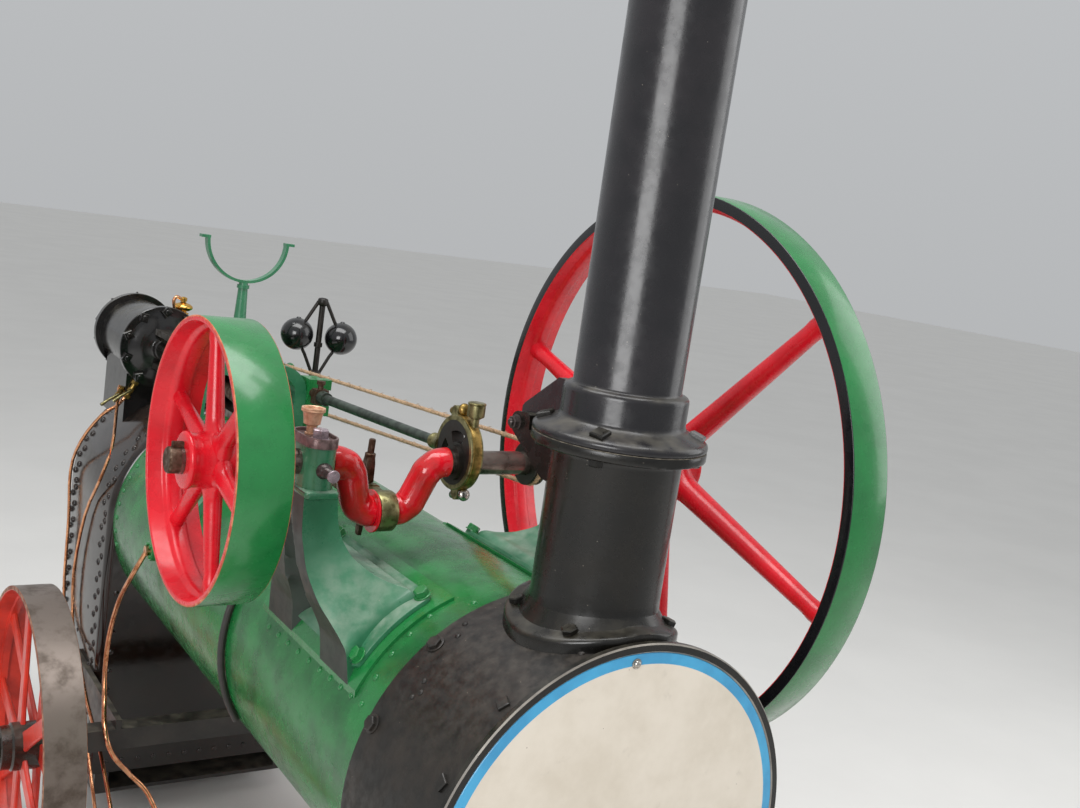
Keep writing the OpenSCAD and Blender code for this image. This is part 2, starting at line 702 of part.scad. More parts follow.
// Arch that stands on the boiler and carries the front of the slide bars
module motion_bracket() {
    top = axis_z + bar_gap + bar_t + gap;
    sill = axis_z - bar_gap - bar_t - gap;
    bend = 70;
    color(enamel_green) difference() {
        union() {
            along(motion_y, motion_y + motion_t) difference() {
                union() {
                    translate([crank_x - arch_r, boiler_z]) square([2 * arch_r, top + arch_t - bend - boiler_z]);
                    translate([crank_x - arch_r + bend, boiler_z]) square([2 * (arch_r - bend), top + arch_t - boiler_z]);
                    for (s = [-1, 1]) translate([crank_x + s * (arch_r - bend), top + arch_t - bend]) circle(r = bend);
                }
                translate([crank_x - arch_r + arch_t, sill]) square([2 * (arch_r - arch_t), top - bend + arch_t - sill]);
                translate([crank_x - arch_r + bend, sill]) square([2 * (arch_r - bend), top - sill]);
                for (s = [-1, 1]) translate([crank_x + s * (arch_r - bend), top + arch_t - bend]) circle(r = bend - arch_t);
            }
            intersection() {
                translate([crank_x - arch_r - 2, motion_y - 34, boiler_z])
                    cube([2 * arch_r + 4, motion_t + 68, barrel_r + 20]);
                boiler_round(motion_y - 40, motion_y + motion_t + 40, barrel_r + 20);
            }
        }
        boiler_round(motion_y - 60, motion_y + motion_t + 60, barrel_r + gap);
    }
}

module ecc_frame() { translate([ecc_x, ecc_throw * cos(ecc_turn), ecc_throw * sin(ecc_turn)]) children(); }

module eccentric_sheave() {
    color(gloss_black) difference() {
        union() {
            ecc_frame() shaft(-ecc_w / 2, ecc_w / 2, sheave_r);
            translate([ecc_x, 0, 0]) shaft(-ecc_w / 2 - 10, ecc_w / 2, shaft_d / 2 + 11);
        }
        // Two curved windows, with a rib between them along the long side
        for (a = [ecc_turn - 62, ecc_turn + 12]) translate([ecc_x - ecc_w, 0, 0]) rotate([a, 0, 0])
            rotate([90, 0, 90]) rotate_extrude(angle = 50) translate([shaft_d / 2 + 17, 0]) square([23, 2 * ecc_w]);
        shaft(-60, 100, shaft_d / 2 + run);
    }
}

module eccentric_strap() {
    h = ecc_w / 2;
    color(brass) ecc_frame() difference() {
        union() {
            shaft(-h, h, strap_r);
            for (s = [-1, 1]) rotate([-lug_lean, 0, 0]) translate([-9, -15, s * (strap_r + 8) - 12]) cube([18, 30, 24]);
            translate([0, strap_r - 8, 0]) rotate([-90, 0, 0]) cylinder(r = 17, h = 30);
            translate([0, -cup_y, strap_r - 24]) cylinder(r = 9, h = 42);
            translate([0, -cup_y, strap_r + 16]) cylinder(r = 18, h = 28);
        }
        shaft(-h - 30, h + 30, sheave_r + run);
    }
}

module eccentric_rod() {
    start = [ecc_x, ecc_throw * cos(ecc_turn) + strap_r + 22 + 3 * gap, ecc_throw * sin(ecc_turn)];
    end = [ecc_x, knuckle_y - 20, -valve_drop];
    color("#3c463e") {
        bar(start, end, 11, 12);
        translate([ecc_x, knuckle_y - 30, -valve_drop]) rotate([-90, 0, 0]) cylinder(r = 17, h = 30 - gap);
    }
}

module valve_rod() {
    color(steel) translate([ecc_x, 0, -valve_drop]) {
        translate([-17, knuckle_y, -20]) cube([34, 30, 38]);
        translate([0, knuckle_y + 15, 17]) cylinder(r = 7, h = 14);
        translate([0, knuckle_y + 15, 30]) cylinder(r = 11, h = 9);
        translate([0, knuckle_y + 20, 0]) rotate([-90, 0, 0])
            cylinder(d = valve_rod_d, h = chest_front - 24 - gap - knuckle_y - 20);
    }
}

module valve_rod_guide() {
    x0 = crank_x + arch_r + gap;
    color(enamel_green) difference() {
        union() {
            translate([x0, motion_y - 14, -valve_drop - 60]) cube([guide_w, motion_t + 28, 94]);
            for (z = [-60, 8]) translate([x0, motion_y - 14, -valve_drop + z]) cube([guide_w + 20, motion_t - 4, 26]);
        }
        translate([ecc_x, motion_y - 15, -valve_drop]) rotate([-90, 0, 0])
            cylinder(r = valve_rod_d / 2 + run, h = motion_t + 30);
    }
}

// Grooved pulley around X
module grooved(groove, hub_r) {
    rotate([0, 90, 0]) rotate_extrude() polygon([[0, -16], [groove + 9, -16], [groove + 9, -13],
        [groove - rope_r, -3], [groove - rope_r, 3], [groove + 9, 13], [groove + 9, 16], [0, 16]]);
    shaft(-18, 18, hub_r);
}

module rope_drive_pulley() {
    color(gloss_black) translate([rope_x, 0, 0]) difference() {
        grooved(drive_r, shaft_d / 2 + 9);
        shaft(-30, 30, shaft_d / 2 + run);
    }
}

module governor_pulley() {
    color(enamel_green) translate([rope_x, governor_y, -governor_drop]) {
        grooved(driven_r, 18);
        shaft(-24, spindle_x - rope_x - 26 - gap, 9);
    }
}

module rope_belt() {
    span = norm([governor_y, governor_drop]);
    dip = -atan2(governor_drop, governor_y);
    wrap = asin((driven_r - drive_r) / span);
    route = concat([for (a = [0:12]) let (t = 90 + wrap + a * (180 - 2 * wrap) / 12)
        [0, drive_r * cos(t), drive_r * sin(t)]],
        [for (a = [0:12]) let (t = -90 - wrap + a * (180 + 2 * wrap) / 12)
        [0, span + driven_r * cos(t), driven_r * sin(t)]]);
    color("#c9ac7c") translate([rope_x, 0, 0]) rotate([dip, 0, 0])
        tube(route, rope_r - 2 * gap, [1, 0, 0], closed = true);
}

module governor_stand() {
    z0 = boiler_z + sqrt(firebox_r * firebox_r - spindle_x * spindle_x);
    color(enamel_green) difference() {
        union() {
            translate([spindle_x, governor_y, z0 - 60]) cylinder(r1 = 34, r2 = 22, h = -governor_drop - z0 + 60);
            translate([spindle_x, governor_y, -governor_drop - 26]) cylinder(r = 26, h = 46);
            translate([spindle_x, governor_y, -governor_drop]) shaft(-26, 30, 20);
        }
        boiler_round(governor_y - 60, governor_y + 60, firebox_r + gap);
    }
}

module governor_head() {
    top = 166;
    z0 = -governor_drop + 20 + gap;
    color(gloss_black) translate([spindle_x, governor_y, 0]) {
        translate([0, 0, z0]) cylinder(r = 9, h = top - z0);
        translate([0, 0, z0]) cylinder(r = 18, h = 24);
        translate([0, 0, top - 14]) cylinder(r = 16, h = 22);
        for (s = [-1, 1]) {
            bar([s * 12, 0, top - 4], [s * ball_out, 0, 65], 5.5, 5.5);
            bar([s * 14, 0, z0 + 14], [s * ball_out, 0, 65], 5, 5);
            translate([s * ball_out, 0, 65]) sphere(r = ball_r);
        }
    }
}

module cylinder_casting() {
    color(gloss_black) difference() {
        union() {
            translate([crank_x, cyl_back, axis_z]) rotate([90, 0, 0]) cylinder(r = cyl_r, h = cyl_len);
            translate([crank_x - block_w / 2, cyl_front + 20, boiler_z]) cube([block_w, cyl_len - 40, axis_z - boiler_z]);
        }
        boiler_round(cyl_front - 10, cyl_back + 10, firebox_r + gap);
    }
}

module cylinder_covers() {
    color(gloss_black) {
        translate([crank_x, cyl_front - gap, axis_z]) rotate([90, 0, 0]) difference() {
            union() {
                cylinder(r = cover_r, h = cover_t);
                cylinder(r1 = 84, r2 = 60, h = cover_t + 14);
                cylinder(r = 34, h = cover_t + 40);
            }
            translate([0, 0, -1]) cylinder(r = piston_rod_d / 2 + run, h = cover_t + 60);
            for (z = [bar_gap - 1, -bar_gap - bar_t - 1]) translate([-31, z, cover_t]) cube([62, bar_t + 2, 60]);
        }
        translate([crank_x, cyl_back + gap, axis_z]) rotate([-90, 0, 0]) {
            cylinder(r = cover_r, h = cover_t);
            cylinder(r1 = 84, r2 = 66, h = cover_t + 15);
        }
    }
}

module valve_chest() {
    x0 = crank_x + cyl_r + 18;
    color(enamel_green) difference() {
        union() {
            translate([x0, chest_front, -128]) cube([118, chest_len, 128 + chest_top]);
            translate([x0 - 6, chest_front - 10, -134]) cube([130, 12, 134 + chest_top]);
            translate([ecc_x, chest_front - 8, -valve_drop]) rotate([90, 0, 0]) cylinder(r = 26, h = 16);
            translate([x0 + 14, chest_front + 20, boiler_z]) cube([90, chest_len - 40, -120 - boiler_z]);
        }
        boiler_round(chest_front - 60, chest_front + chest_len + 60, firebox_r + gap);
        translate([ecc_x, chest_front + 4, -valve_drop]) rotate([90, 0, 0]) cylinder(r = valve_rod_d / 2 + run, h = 40);
    }
}

module lubricator() {
    x = -96;
    dz = sqrt(cyl_r * cyl_r - pow(x - crank_x, 2));
    color(brass) difference() {
        translate([x, cyl_front + 34, axis_z]) {
            cylinder(r = 8, h = dz + 40);
            translate([0, 0, dz + 28]) sphere(r = 24);
            translate([0, 0, dz + 48]) cylinder(r = 11, h = 22);
        }
        translate([crank_x, cyl_back, axis_z]) rotate([90, 0, 0]) cylinder(r = cyl_r + gap, h = cyl_len);
    }
}

module safety_valve() {
    y = chest_front + chest_len / 2 + 5;
    low = boiler_z + sqrt(firebox_r * firebox_r - valve_x * valve_x) + 16;
    color(brass) difference() {
        translate([valve_x, y, low]) {
            translate([0, 0, -50]) cylinder(r = 34, h = 62);
            cylinder(r = 22, h = 60);
            translate([0, 0, 56]) cylinder(r1 = 26, r2 = 20, h = 40);
            translate([0, 0, 94]) cylinder(r = 8, h = 26);
        }
        boiler_round(y - 60, y + 60, firebox_r + gap);
    }
}

module chimney_crutch() {
    z0 = rest_z - band_t;
    tip = rest_z + crutch_r;
    color(enamel_green) translate([0, crutch_y, 0]) {
        translate([0, 0, tip]) rotate([90, 0, 0]) rotate([0, 0, 180])
            rotate_extrude(angle = 180) translate([crutch_r, -band_w / 2]) square([band_t, band_w]);
        for (s = [-1, 1]) translate([s * (crutch_r + band_t + 4), 0, tip + 2]) cube([2 * band_t + 10, band_w, 8], center = true);
        translate([0, 0, chest_top + gap]) cylinder(r1 = 20, r2 = 13, h = z0 - chest_top - gap + 3);
        translate([0, 0, z0 - 16]) cylinder(r = 18, h = 10);
        translate([0, 0, chest_top + gap]) cylinder(r = 34, h = 12);
    }
}

module drain_pipes() {
    out = firebox_r + 14;
    clip = firebox_r + axle_plate + drain_r + 4;
    block = crank_x - block_w / 2;
    cock = [crank_x - 0.475 * (cyl_r + 3 * gap), cyl_front + 10, axis_z - 0.88 * (cyl_r + 3 * gap)];
    color(copper) {
        tube(smooth([cock, cock + [-20, 2, -37], [-268, cyl_front + 14, -226], [-312, cyl_front + 22, -262],
            [-out, cyl_front + 90, -359], [-out, cyl_front + 190, -478], [-out, cyl_front + 160, -633],
            [-out, cyl_front + 130, -890], [-clip, firebox_front + 150, -990], [-clip, firebox_front + 6, -1085],
            [-clip, 1227, -1179], [-clip, 1116, -1276], [-clip, 1040, -1350]], 3), drain_r, [1, 0.2, 0]);
        tube(smooth([[block - gap, cyl_front + 40, -180], [block - 7, cyl_front + 40, -180],
            [block - 14, cyl_front + 40, -180],
            [-290, firebox_front + 200, -240], [-330, firebox_front + 60, -310], [-out, firebox_front + 84, -413],
            [-out, firebox_front + 218, -557], [-out, firebox_front + 292, -760], [-out, firebox_front + 240, -925],
            [-clip - 8, firebox_front + 60, -951], [-clip - 12, 1250, -1020], [-clip - 12, 1077, -1083],
            [-clip - 12, 923, -1175], [-clip - 12, 840, -1240]], 3), drain_r, [0.3, 0.2, 1]);
    }
}

module feed_pipe() {
    out = barrel_r + 37;
    color(copper) difference() {
        union() {
            translate([-barrel_r - 4, feed_y, boiler_z + 30]) rotate([0, 90, 0]) cylinder(r = 19, h = 40, center = true);
            tube(smooth([[-barrel_r - 14, feed_y, boiler_z + 30], [-out + 2, feed_y + 30, -545], [-out - 2, feed_y + 120, -650],
                [-out - 4, feed_y + 172, -757], [-out - 6, feed_y + 180, -850], [-out - 10, feed_y + 145, -938],
                [-out - 26, feed_y + 55, -985], [-out - 6, feed_y + 30, -1048], [-out + 50, feed_y + 50, -1121],
                [-out + 100, feed_y + 30, -1180], [-out + 140, feed_y - 20, -1290], [-out + 150, feed_y - 30, -1400]], 3),
                feed_r, [1, 0.2, 0]);
        }
        boiler_round(feed_y - 100, feed_y + 200, barrel_r + gap);
    }
}

module side_pipe() {
    out = barrel_r + side_r + 2 * gap;
    color(gloss_black) tube([for (a = [18:-5:-32]) [-out * cos(a), side_y + a / 6, boiler_z + out * sin(a)]],
        side_r, [0, 1, 0]);
}

module firebox() {
    color(gloss_black) along(firebox_front, firebox_y1) union() {
        translate([0, boiler_z]) circle(r = firebox_r, $fn = 128);
        translate([-firebox_r, firebox_z0]) square([2 * firebox_r, boiler_z - firebox_z0]);
    }
}

module ashpan() {
    z0 = firebox_z0 - ashpan_h;
    color(gloss_black) difference() {
        translate([-firebox_r + 34, firebox_front + 28, z0]) cube([2 * firebox_r - 68, firebox_len - 56, ashpan_h]);
        translate([-firebox_r + 74, firebox_front + 20, z0 + 12]) cube([2 * firebox_r - 148, 120, ashpan_h - 24]);
    }
}

module fire_door() {
    z = firebox_z0 + door_up;
    color(gloss_black) {
        translate([0, firebox_y1 + 14, z]) rotate([90, 0, 0]) cylinder(r = door_r, h = 14);
        translate([-door_r + 30, firebox_y1, z - 20]) cube([2 * door_r - 10, 26, 40]);
        translate([door_r + 18, firebox_y1, z - 60]) cube([20, 30, 120]);
        translate([-100, firebox_y1 + 20, z]) rotate([-90, 0, 0]) cylinder(r = 8, h = 46);
    }
}

module boiler_gauges() {
    color(brass) {
        for (z = [boiler_z - 60, boiler_z + 150]) translate([200, firebox_y1, z]) rotate([-90, 0, 0]) cylinder(r = 12, h = 46);
        translate([200, firebox_y1 + 34, boiler_z - 80]) cylinder(r = 11, h = 250);
        translate([-120, firebox_y1, boiler_z + 170]) rotate([-90, 0, 0]) cylinder(r = 10, h = 30);
        translate([-120, firebox_y1 + 28, boiler_z + 170]) rotate([-90, 0, 0]) cylinder(r = 72, h = 32);
    }
}

module hind_axle() {
    r = journal_d / 2;
    color("#2c2a28") translate([0, hind_y, hind_z]) {
        translate([-hub_in + hub_gap, -axle_b / 2, -axle_b / 2]) cube([2 * hub_in - 2 * hub_gap, axle_b, axle_b]);
        shaft(-axle_end, axle_end, r);
        mirror_x() {
            translate([-firebox_r - axle_plate, -axle_b / 2, -55]) cube([axle_plate - gap, firebox_front - hind_y + 230, 110]);
            shaft(-axle_end, -hub_out - hub_gap, r + 14);
        }
    }
}

// Road wheel around X with its outer face at x = 0, reaching inwards along +X
module road_wheel(r, w, hub0, hub1, hub_r) {
    difference() {
        union() {
            shaft(0, w, r);
            shaft(hub0, hub1, hub_r);
        }
        difference() {
            shaft(-1, w + 1, r - tyre_t);
            shaft(-2, w + 2, hub_r - 1);
            for (i = [0:road_spokes - 1]) rotate([i * 360 / road_spokes, 0, 0])
                translate([w / 2 + (i % 2 == 0 ? -14 - spoke_t / 2 : 14 - spoke_t / 2), -spoke_b / 2, 0]) cube([spoke_t, spoke_b, r]);
        }
        shaft(hub0 - 1, hub1 + 1, journal_d / 2 + run);
    }
}

module hind_wheel() { translate([-hind_x, hind_y, hind_z]) road_wheel(hind_r, hind_w, -hub_out + hind_x, hind_w, 62); }
module hind_wheel_left() { color(signal_red) hind_wheel(); }
module hind_wheel_right() { color(signal_red) mirror([1, 0, 0]) hind_wheel(); }

module front_wheels() {
    color(signal_red) mirror_x() translate([-front_x, front_y, front_z])
        road_wheel(front_r, front_w, -front_hub_out + front_x, front_x - front_hub_in, 54);
}

module front_axle() {
    color("#2c2a28") translate([0, front_y, front_z]) {
        translate([-front_hub_in + gap, -axle_b / 2, -axle_b / 2]) cube([2 * front_hub_in - 2 * gap, axle_b, axle_b]);
        shaft(-front_hub_out - 12, front_hub_out + 12, journal_d / 2);
        mirror_x() shaft(-front_hub_out - 12, -front_hub_out - gap, journal_d / 2 + 14);
    }
}

module fore_carriage() {
    top = boiler_z - smokebox_r;
    plate_z = front_z + axle_b / 2 + gap;
    color(gloss_black) difference() {
        union() {
            translate([0, front_y, plate_z + 26]) cylinder(r1 = 90, r2 = 130, h = top - plate_z + 60);
            translate([0, front_y, plate_z]) cylinder(r = 190, h = 26);
            mirror_x() bar([-150, front_y - 60, plate_z + 15], [-12, tow_y + 16, front_z + 8], 15, 14);
            translate([0, tow_y, front_z - 12]) cylinder(r = tow_end, h = 36);
        }
        boiler_round(front_y - 200, front_y + 200, smokebox_r + gap);
        translate([0, tow_y, front_z - 40]) cylinder(d = tow_d, h = 90);
    }
}

place() barrel();
place() saddle_plates();
place() smokebox();
place() smokebox_ring();
place() smokebox_disc();
place() chimney_base();
place() hinge_bolt();
place() chimney_stack();
place() chimney_crown();
place() bearing_bracket_left();
place() bearing_bracket_right();
place() bearing_caps();
place() oil_cups();
place() crankshaft();
place() large_flywheel();
place() small_flywheel();
place() connecting_rod();
place() crosshead();
place() slide_bars();
place() motion_bracket();
place() eccentric_sheave();
place() eccentric_strap();
place() eccentric_rod();
place() valve_rod();
place() valve_rod_guide();
place() rope_drive_pulley();
place() rope_belt();
place() governor_pulley();
place() governor_stand();
place() governor_head();
place() cylinder_casting();
place() cylinder_covers();
place() valve_chest();
place() lubricator();
place() safety_valve();
place() chimney_crutch();
place() drain_pipes();
place() feed_pipe();
place() side_pipe();
place() firebox();
place() ashpan();
place() fire_door();
place() boiler_gauges();
place() hind_axle();
place() hind_wheel_left();
place() hind_wheel_right();
place() fore_carriage();
place() front_axle();
place() front_wheels();
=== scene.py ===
"""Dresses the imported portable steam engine: its finishes, its fastenings and the pieces with finer shapes."""

import math

import bmesh
import bpy
from bpy.props import FloatProperty, FloatVectorProperty, IntProperty, PointerProperty
from bpy.types import Operator, Panel, PropertyGroup
from mathutils import Matrix, Vector


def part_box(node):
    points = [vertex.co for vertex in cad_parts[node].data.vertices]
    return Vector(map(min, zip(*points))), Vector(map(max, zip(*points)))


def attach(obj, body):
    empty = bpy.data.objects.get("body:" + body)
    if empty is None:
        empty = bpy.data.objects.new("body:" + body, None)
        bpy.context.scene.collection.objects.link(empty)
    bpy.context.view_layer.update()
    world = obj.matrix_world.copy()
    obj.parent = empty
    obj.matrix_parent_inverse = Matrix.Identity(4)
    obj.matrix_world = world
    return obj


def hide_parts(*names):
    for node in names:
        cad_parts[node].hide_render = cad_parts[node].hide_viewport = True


bl_info = {
    "name": "Portable steam engine",
    "version": (1, 0, 0),
    "blender": (4, 5, 0),
    "location": "3D View > Sidebar > Steam engine",
    "description": "Dresses the packed steam engine with its finishes, fastenings and finer pieces",
    "category": "Object",
}

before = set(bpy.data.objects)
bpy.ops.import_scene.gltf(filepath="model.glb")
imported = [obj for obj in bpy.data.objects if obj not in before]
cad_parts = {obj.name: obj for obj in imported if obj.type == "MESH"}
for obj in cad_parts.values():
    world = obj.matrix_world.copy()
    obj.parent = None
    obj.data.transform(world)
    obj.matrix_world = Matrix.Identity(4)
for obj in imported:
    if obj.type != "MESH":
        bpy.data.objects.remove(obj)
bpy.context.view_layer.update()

# Middle of the crankshaft, in metres; every form is drawn in millimetres from here
LOW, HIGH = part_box("small_flywheel")
SHAFT = Vector((0.0, (LOW[1] + HIGH[1]) / 2, (LOW[2] + HIGH[2]) / 2))

BOILER_Z = -504.0
BARREL_R = 323.0
SMOKEBOX_R = 355.0
SMOKEBOX_Y = (-635.0, -345.0)
CHIMNEY_Y = -490.0
FIREBOX_R = 335.0
FIREBOX_Y = (1335.0, 1833.0)
FEED_Y = 941.0
FEED_R = 6.5


def linear(hex_colour):
    """Linear colour with alpha from an sRGB hex value."""
    channels = [int(hex_colour[i:i + 2], 16) / 255 for i in (1, 3, 5)]
    return [c / 12.92 if c <= 0.04045 else ((c + 0.055) / 1.055) ** 2.4 for c in channels] + [1.0]


def per(millimetres):
    """Scale of a pattern whose features are that far apart."""
    return 1000.0 / millimetres


def add(tree, kind, settings=None, links=None, out=0):
    """Adds a node with its settings and links, and gives one of its outputs."""
    node = tree.nodes.new("ShaderNode" + kind)
    for key, value in (settings or {}).items():
        if isinstance(key, int) or key in node.inputs:
            node.inputs[key].default_value = value
        else:
            setattr(node, key, value)
    for key, source in (links or {}).items():
        tree.links.new(source, node.inputs[key])
    return node.outputs[out] if node.outputs else node


def blotches(tree, where, size, start, end, detail=4.0, high=1.0):
    """Soft patches of about that size in millimetres, from 0 between them to high on them."""
    noise = add(tree, "TexNoise", {"Scale": per(size), "Detail": detail, "Roughness": 0.6}, {"Vector": where})
    return add(tree, "MapRange", {1: start, 2: end, 4: high, "interpolation_type": "SMOOTHSTEP"}, {0: noise})


def dots(tree, where, spacing, size, share):
    """Small round dots, that many millimetres apart and across, on that share of their places."""
    apart = add(tree, "TexVoronoi", {"Scale": per(spacing)}, {"Vector": where})
    pick = add(tree, "TexVoronoi", {"Scale": per(spacing)}, {"Vector": where}, out=1)
    lot = add(tree, "SeparateColor", {}, {0: pick})
    near = add(tree, "MapRange", {1: size / spacing / 2, 2: size / spacing / 3}, {0: apart})
    chosen = add(tree, "Math", {"operation": "LESS_THAN", 1: share}, {0: lot})
    return add(tree, "Math", {"operation": "MULTIPLY"}, {0: near, 1: chosen})


def upward(tree, start, end, high=1.0):
    """How far a face looks up, where dust settles."""
    normal = add(tree, "NewGeometry", out="Normal")
    height = add(tree, "SeparateXYZ", {}, {0: normal}, out=2)
    return add(tree, "MapRange", {1: start, 2: end, 4: high, "interpolation_type": "SMOOTHSTEP"}, {0: height})


def blend(tree, share, under, over):
    """Lays one colour over another where the share is 1."""
    sources = {0: share}
    settings = {"data_type": "RGBA"}
    for key, colour in ((6, under), (7, over)):
        if isinstance(colour, list):
            settings[key] = colour
        else:
            sources[key] = colour
    return add(tree, "Mix", settings, sources, out=2)


def surface(name, colour, roughness, bump=None, height=0.3, **constants):
    """Ends a material: its shader takes the colour, roughness and bump that were drawn for it."""
    material = bpy.data.materials[name]
    tree = material.node_tree
    shader = tree.nodes.new("ShaderNodeBsdfPrincipled")
    for key, value in constants.items():
        shader.inputs[key.replace("_", " ")].default_value = value
    tree.links.new(colour, shader.inputs["Base Color"])
    tree.links.new(roughness, shader.inputs["Roughness"])
    if bump:
        tree.links.new(add(tree, "Bump", {"Strength": 1.0, "Distance": height * 0.001}, {"Height": bump}),
                       shader.inputs["Normal"])
    output = tree.nodes.new("ShaderNodeOutputMaterial")
    tree.links.new(shader.outputs[0], output.inputs["Surface"])
    return material


def blank(name):
    """A new material with an empty node tree, and where its points are on the object."""
    material = bpy.data.materials.new(name)
    material.use_nodes = True
    material.node_tree.nodes.clear()
    tree = material.node_tree
    return tree, add(tree, "TexCoord", out="Object")


def enamel(name, paint, shade, gloss=0.2, dust=0.25, specks=0.12, speck="#3a2c20", coat=0.35,
           settled="#8d8674"):
    """Brushed coach enamel, dried with a slight orange peel under a film of dust."""
    tree, where = blank(name)
    patches = blotches(tree, where, 95, 0.35, 0.7)
    colour = blend(tree, patches, linear(paint) if isinstance(paint, str) else paint, linear(shade))
    film = add(tree, "Math", {"operation": "MULTIPLY"},
               {0: upward(tree, 0.15, 0.95, dust), 1: blotches(tree, where, 42, 0.3, 0.75, 6.0)})
    colour = blend(tree, film, colour, linear(settled))
    chips = dots(tree, where, 11, 1.6, specks)
    colour = blend(tree, chips, colour, linear(speck))
    rough = add(tree, "MapRange", {3: gloss, 4: gloss + 0.16}, {0: blotches(tree, where, 30, 0.3, 0.8)})
    rough = add(tree, "Math", {"operation": "ADD"}, {0: rough, 1: film})
    peel = add(tree, "TexNoise", {"Scale": per(9), "Detail": 2.0}, {"Vector": where})
    return surface(name, colour, rough, peel, 0.12, Coat_Weight=coat, Coat_Roughness=0.12)


def metal(name, bright, stain, rough0, rough1, stain_size=26, stain_start=0.42, stain_end=0.68, grain=1.2,
          depth=0.05, metallic=1.0, grit=None):
    """Bare metal, stained where oil and hands have been."""
    tree, where = blank(name)
    marks = blotches(tree, where, stain_size, stain_start, stain_end, 6.0)
    colour = blend(tree, marks, linear(bright), linear(stain))
    if grit:
        colour = blend(tree, dots(tree, where, 7, 2.0, 0.3), colour, linear(grit))
    rough = add(tree, "MapRange", {3: rough0, 4: rough1}, {0: marks})
    # The real grain is finer than a millimetre: it is drawn this coarse so that it shows
    fine = add(tree, "TexNoise", {"Scale": per(grain), "Detail": 3.0}, {"Vector": where})
    return surface(name, colour, rough, fine, depth, Metallic=metallic)


def smokebox_black(name):
    """Matt heat-resisting black, baked brownish and smudged by hands and soot."""
    tree, where = blank(name)
    colour = blend(tree, blotches(tree, where, 70, 0.4, 0.7, 6.0), linear("#13110e"), linear("#241e18"))
    film = add(tree, "Math", {"operation": "MULTIPLY"},
               {0: upward(tree, 0.2, 1.0, 0.22), 1: blotches(tree, where, 24, 0.35, 0.7, 6.0)})
    colour = blend(tree, film, colour, linear("#6d655c"))
    colour = blend(tree, dots(tree, where, 13, 1.8, 0.12), colour, linear("#8b7f70"))
    rough = add(tree, "MapRange", {3: 0.34, 4: 0.62}, {0: blotches(tree, where, 18, 0.3, 0.7, 5.0)})
    peel = add(tree, "TexNoise", {"Scale": per(5), "Detail": 4.0}, {"Vector": where})
    return surface(name, colour, rough, peel, 0.15)


def cream_disc(name):
    """Cream eggshell paint on sheet steel, with small rust specks and faint grey stains."""
    tree, where = blank(name)
    colour = blend(tree, blotches(tree, where, 120, 0.35, 0.75, 5.0), linear("#e6dccd"), linear("#d8cdbc"))
    colour = blend(tree, blotches(tree, where, 34, 0.62, 0.8, 6.0, 0.35), colour, linear("#b3a897"))
    colour = blend(tree, dots(tree, where, 16, 2.4, 0.1), colour, linear("#7c6650"))
    rough = add(tree, "MapRange", {3: 0.42, 4: 0.55}, {0: blotches(tree, where, 30, 0.3, 0.7)})
    peel = add(tree, "TexNoise", {"Scale": per(14), "Detail": 2.0}, {"Vector": where})
    return surface(name, colour, rough, peel, 0.1)


def hemp(name):
    """Laid hemp, hairy and dusty: the fibres scatter light, so it has no gloss."""
    tree, where = blank(name)
    colour = blend(tree, blotches(tree, where, 6, 0.35, 0.7, 5.0), linear("#b89772"), linear("#856a4c"))
    rough = add(tree, "MapRange", {3: 0.8, 4: 0.95}, {0: blotches(tree, where, 5, 0.3, 0.7)})
    # Real fibres are under a tenth as wide, and would not show
    fibre = add(tree, "TexNoise", {"Scale": per(1.5), "Detail": 4.0}, {"Vector": where})
    return surface(name, colour, rough, fibre, 0.4, Sheen_Weight=0.3)


